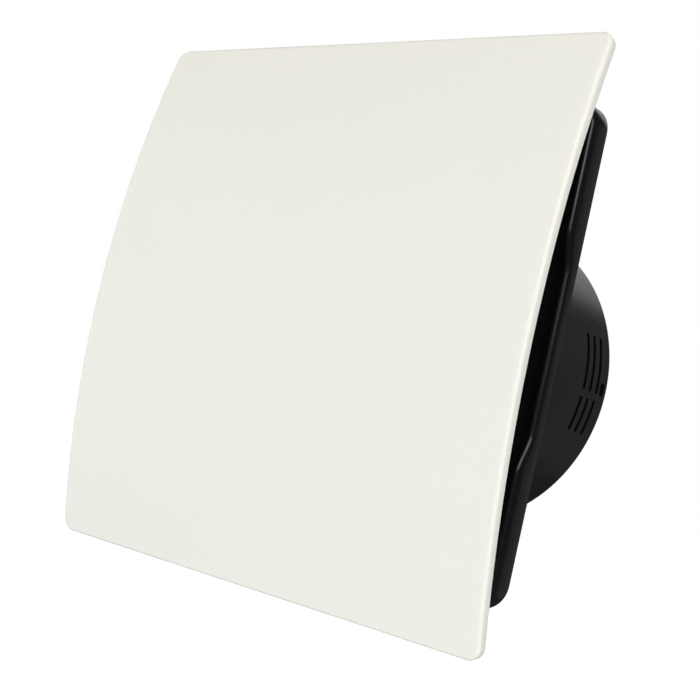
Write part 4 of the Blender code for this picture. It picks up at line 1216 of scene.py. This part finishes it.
def make_surround():
    """White for the camera and for matte light, and dim in reflections so that black stays black."""
    world = bpy.data.worlds.new("surround")
    world.use_nodes = True
    bpy.context.scene.world = world
    tree = world.node_tree
    back = tree.nodes["Background"]
    rays = tree.nodes.new("ShaderNodeLightPath")
    matte = tree.nodes.new("ShaderNodeMapRange")
    set_inputs(matte, To_Min=MATTE_SURROUND, To_Max=SHINY_SURROUND)
    tree.links.new(rays.outputs["Is Glossy Ray"], matte.inputs["Value"])
    level = tree.nodes.new("ShaderNodeMapRange")
    set_inputs(level, To_Max=1.0)
    tree.links.new(rays.outputs["Is Camera Ray"], level.inputs["Value"])
    tree.links.new(matte.outputs["Result"], level.inputs["To Min"])
    tree.links.new(level.outputs["Result"], back.inputs["Strength"])
    set_inputs(back, Color=WHITE)


def make_floor():
    bm = bmesh.new()
    bmesh.ops.create_circle(bm, cap_ends=True, segments=96, radius=FLOOR_RADIUS)
    floor = new_object("studio_floor", bm)
    floor.location = (0.0, 0.0, FLOOR_LEVEL)
    material = bpy.data.materials.new("pale_floor")
    material.use_nodes = True
    surface = material.node_tree.nodes["Principled BSDF"]
    set_inputs(surface, Base_Color=(0.85, 0.85, 0.85, 1.0), Roughness=0.9, Specular_IOR_Level=0.0,
               Emission_Color=WHITE, Emission_Strength=0.95)
    floor.data.materials.append(material)
    floor.visible_glossy = False
    floor.visible_diffuse = False
    floor.visible_shadow = False


def make_lights():
    """Lights for the matte surfaces, then cards that show in reflections only."""
    middle, tube_middle = (0.0, 0.0, 0.0), (0.0, 0.03, 0.0)
    for name, place, size, power, colour in (
            ("left", (-2.0, -1.0, 0.2), (1.4, 1.6), 30.0, (1.0, 0.99, 0.955)),
            ("right", (2.0, -0.9, 0.1), (1.4, 1.6), 39.0, (1.0, 0.995, 0.98)),
            ("front", (0.4, -2.2, 0.0), (1.4, 1.4), 10.2, (1.0, 0.995, 0.98)),
            ("under", (0.0, -1.4, -1.5), (1.6, 0.9), 11.5, (0.89, 0.93, 1.0)),
            ("crown", (0.0, -0.15, 2.0), (1.2, 1.0), 12.0, (1.0, 0.93, 0.82)),
            ("sole", (0.0, -0.15, -2.0), (1.2, 1.0), 7.0, (0.92, 0.94, 1.0))):
        softbox(name, place, middle, size, power, colour, shine=False)
    for name, place, target, size, power in (
            ("rim_card", (1.31, -0.85, 0.71), middle, (1.4, 0.8), 9.2),
            ("glint_card", (0.05, -1.3, 1.35), middle, (0.5, 0.4), 14.0),
            ("back_card", (-0.25, 1.4, 1.0), tube_middle, (1.0, 0.9), 1.9),
            ("back_right_card", (0.9, 1.6, -0.05), tube_middle, (1.4, 1.9), 0.9),
            ("top_card", (0.3, 0.3, 1.7), tube_middle, (1.0, 0.8), 2.5)):
        softbox(name, place, target, size, power, matte=False)


make_camera()
make_surround()
make_floor()
make_lights()
bpy.context.scene.view_settings.view_transform = "Standard"

for node in frame["record"]["subparts"]:
    nodes[node["node"]].data.materials.clear()
    nodes[node["node"]].data.materials.append(MATERIALS[node["material_slot"]])

make_front_panel()
make_panel_pegs()
make_base_frame()
make_duct_spigot()
make_inlet_ring()
make_screws()
make_motor_cradle()
make_motor_cap()
make_impeller()
make_shutter()
make_terminals()
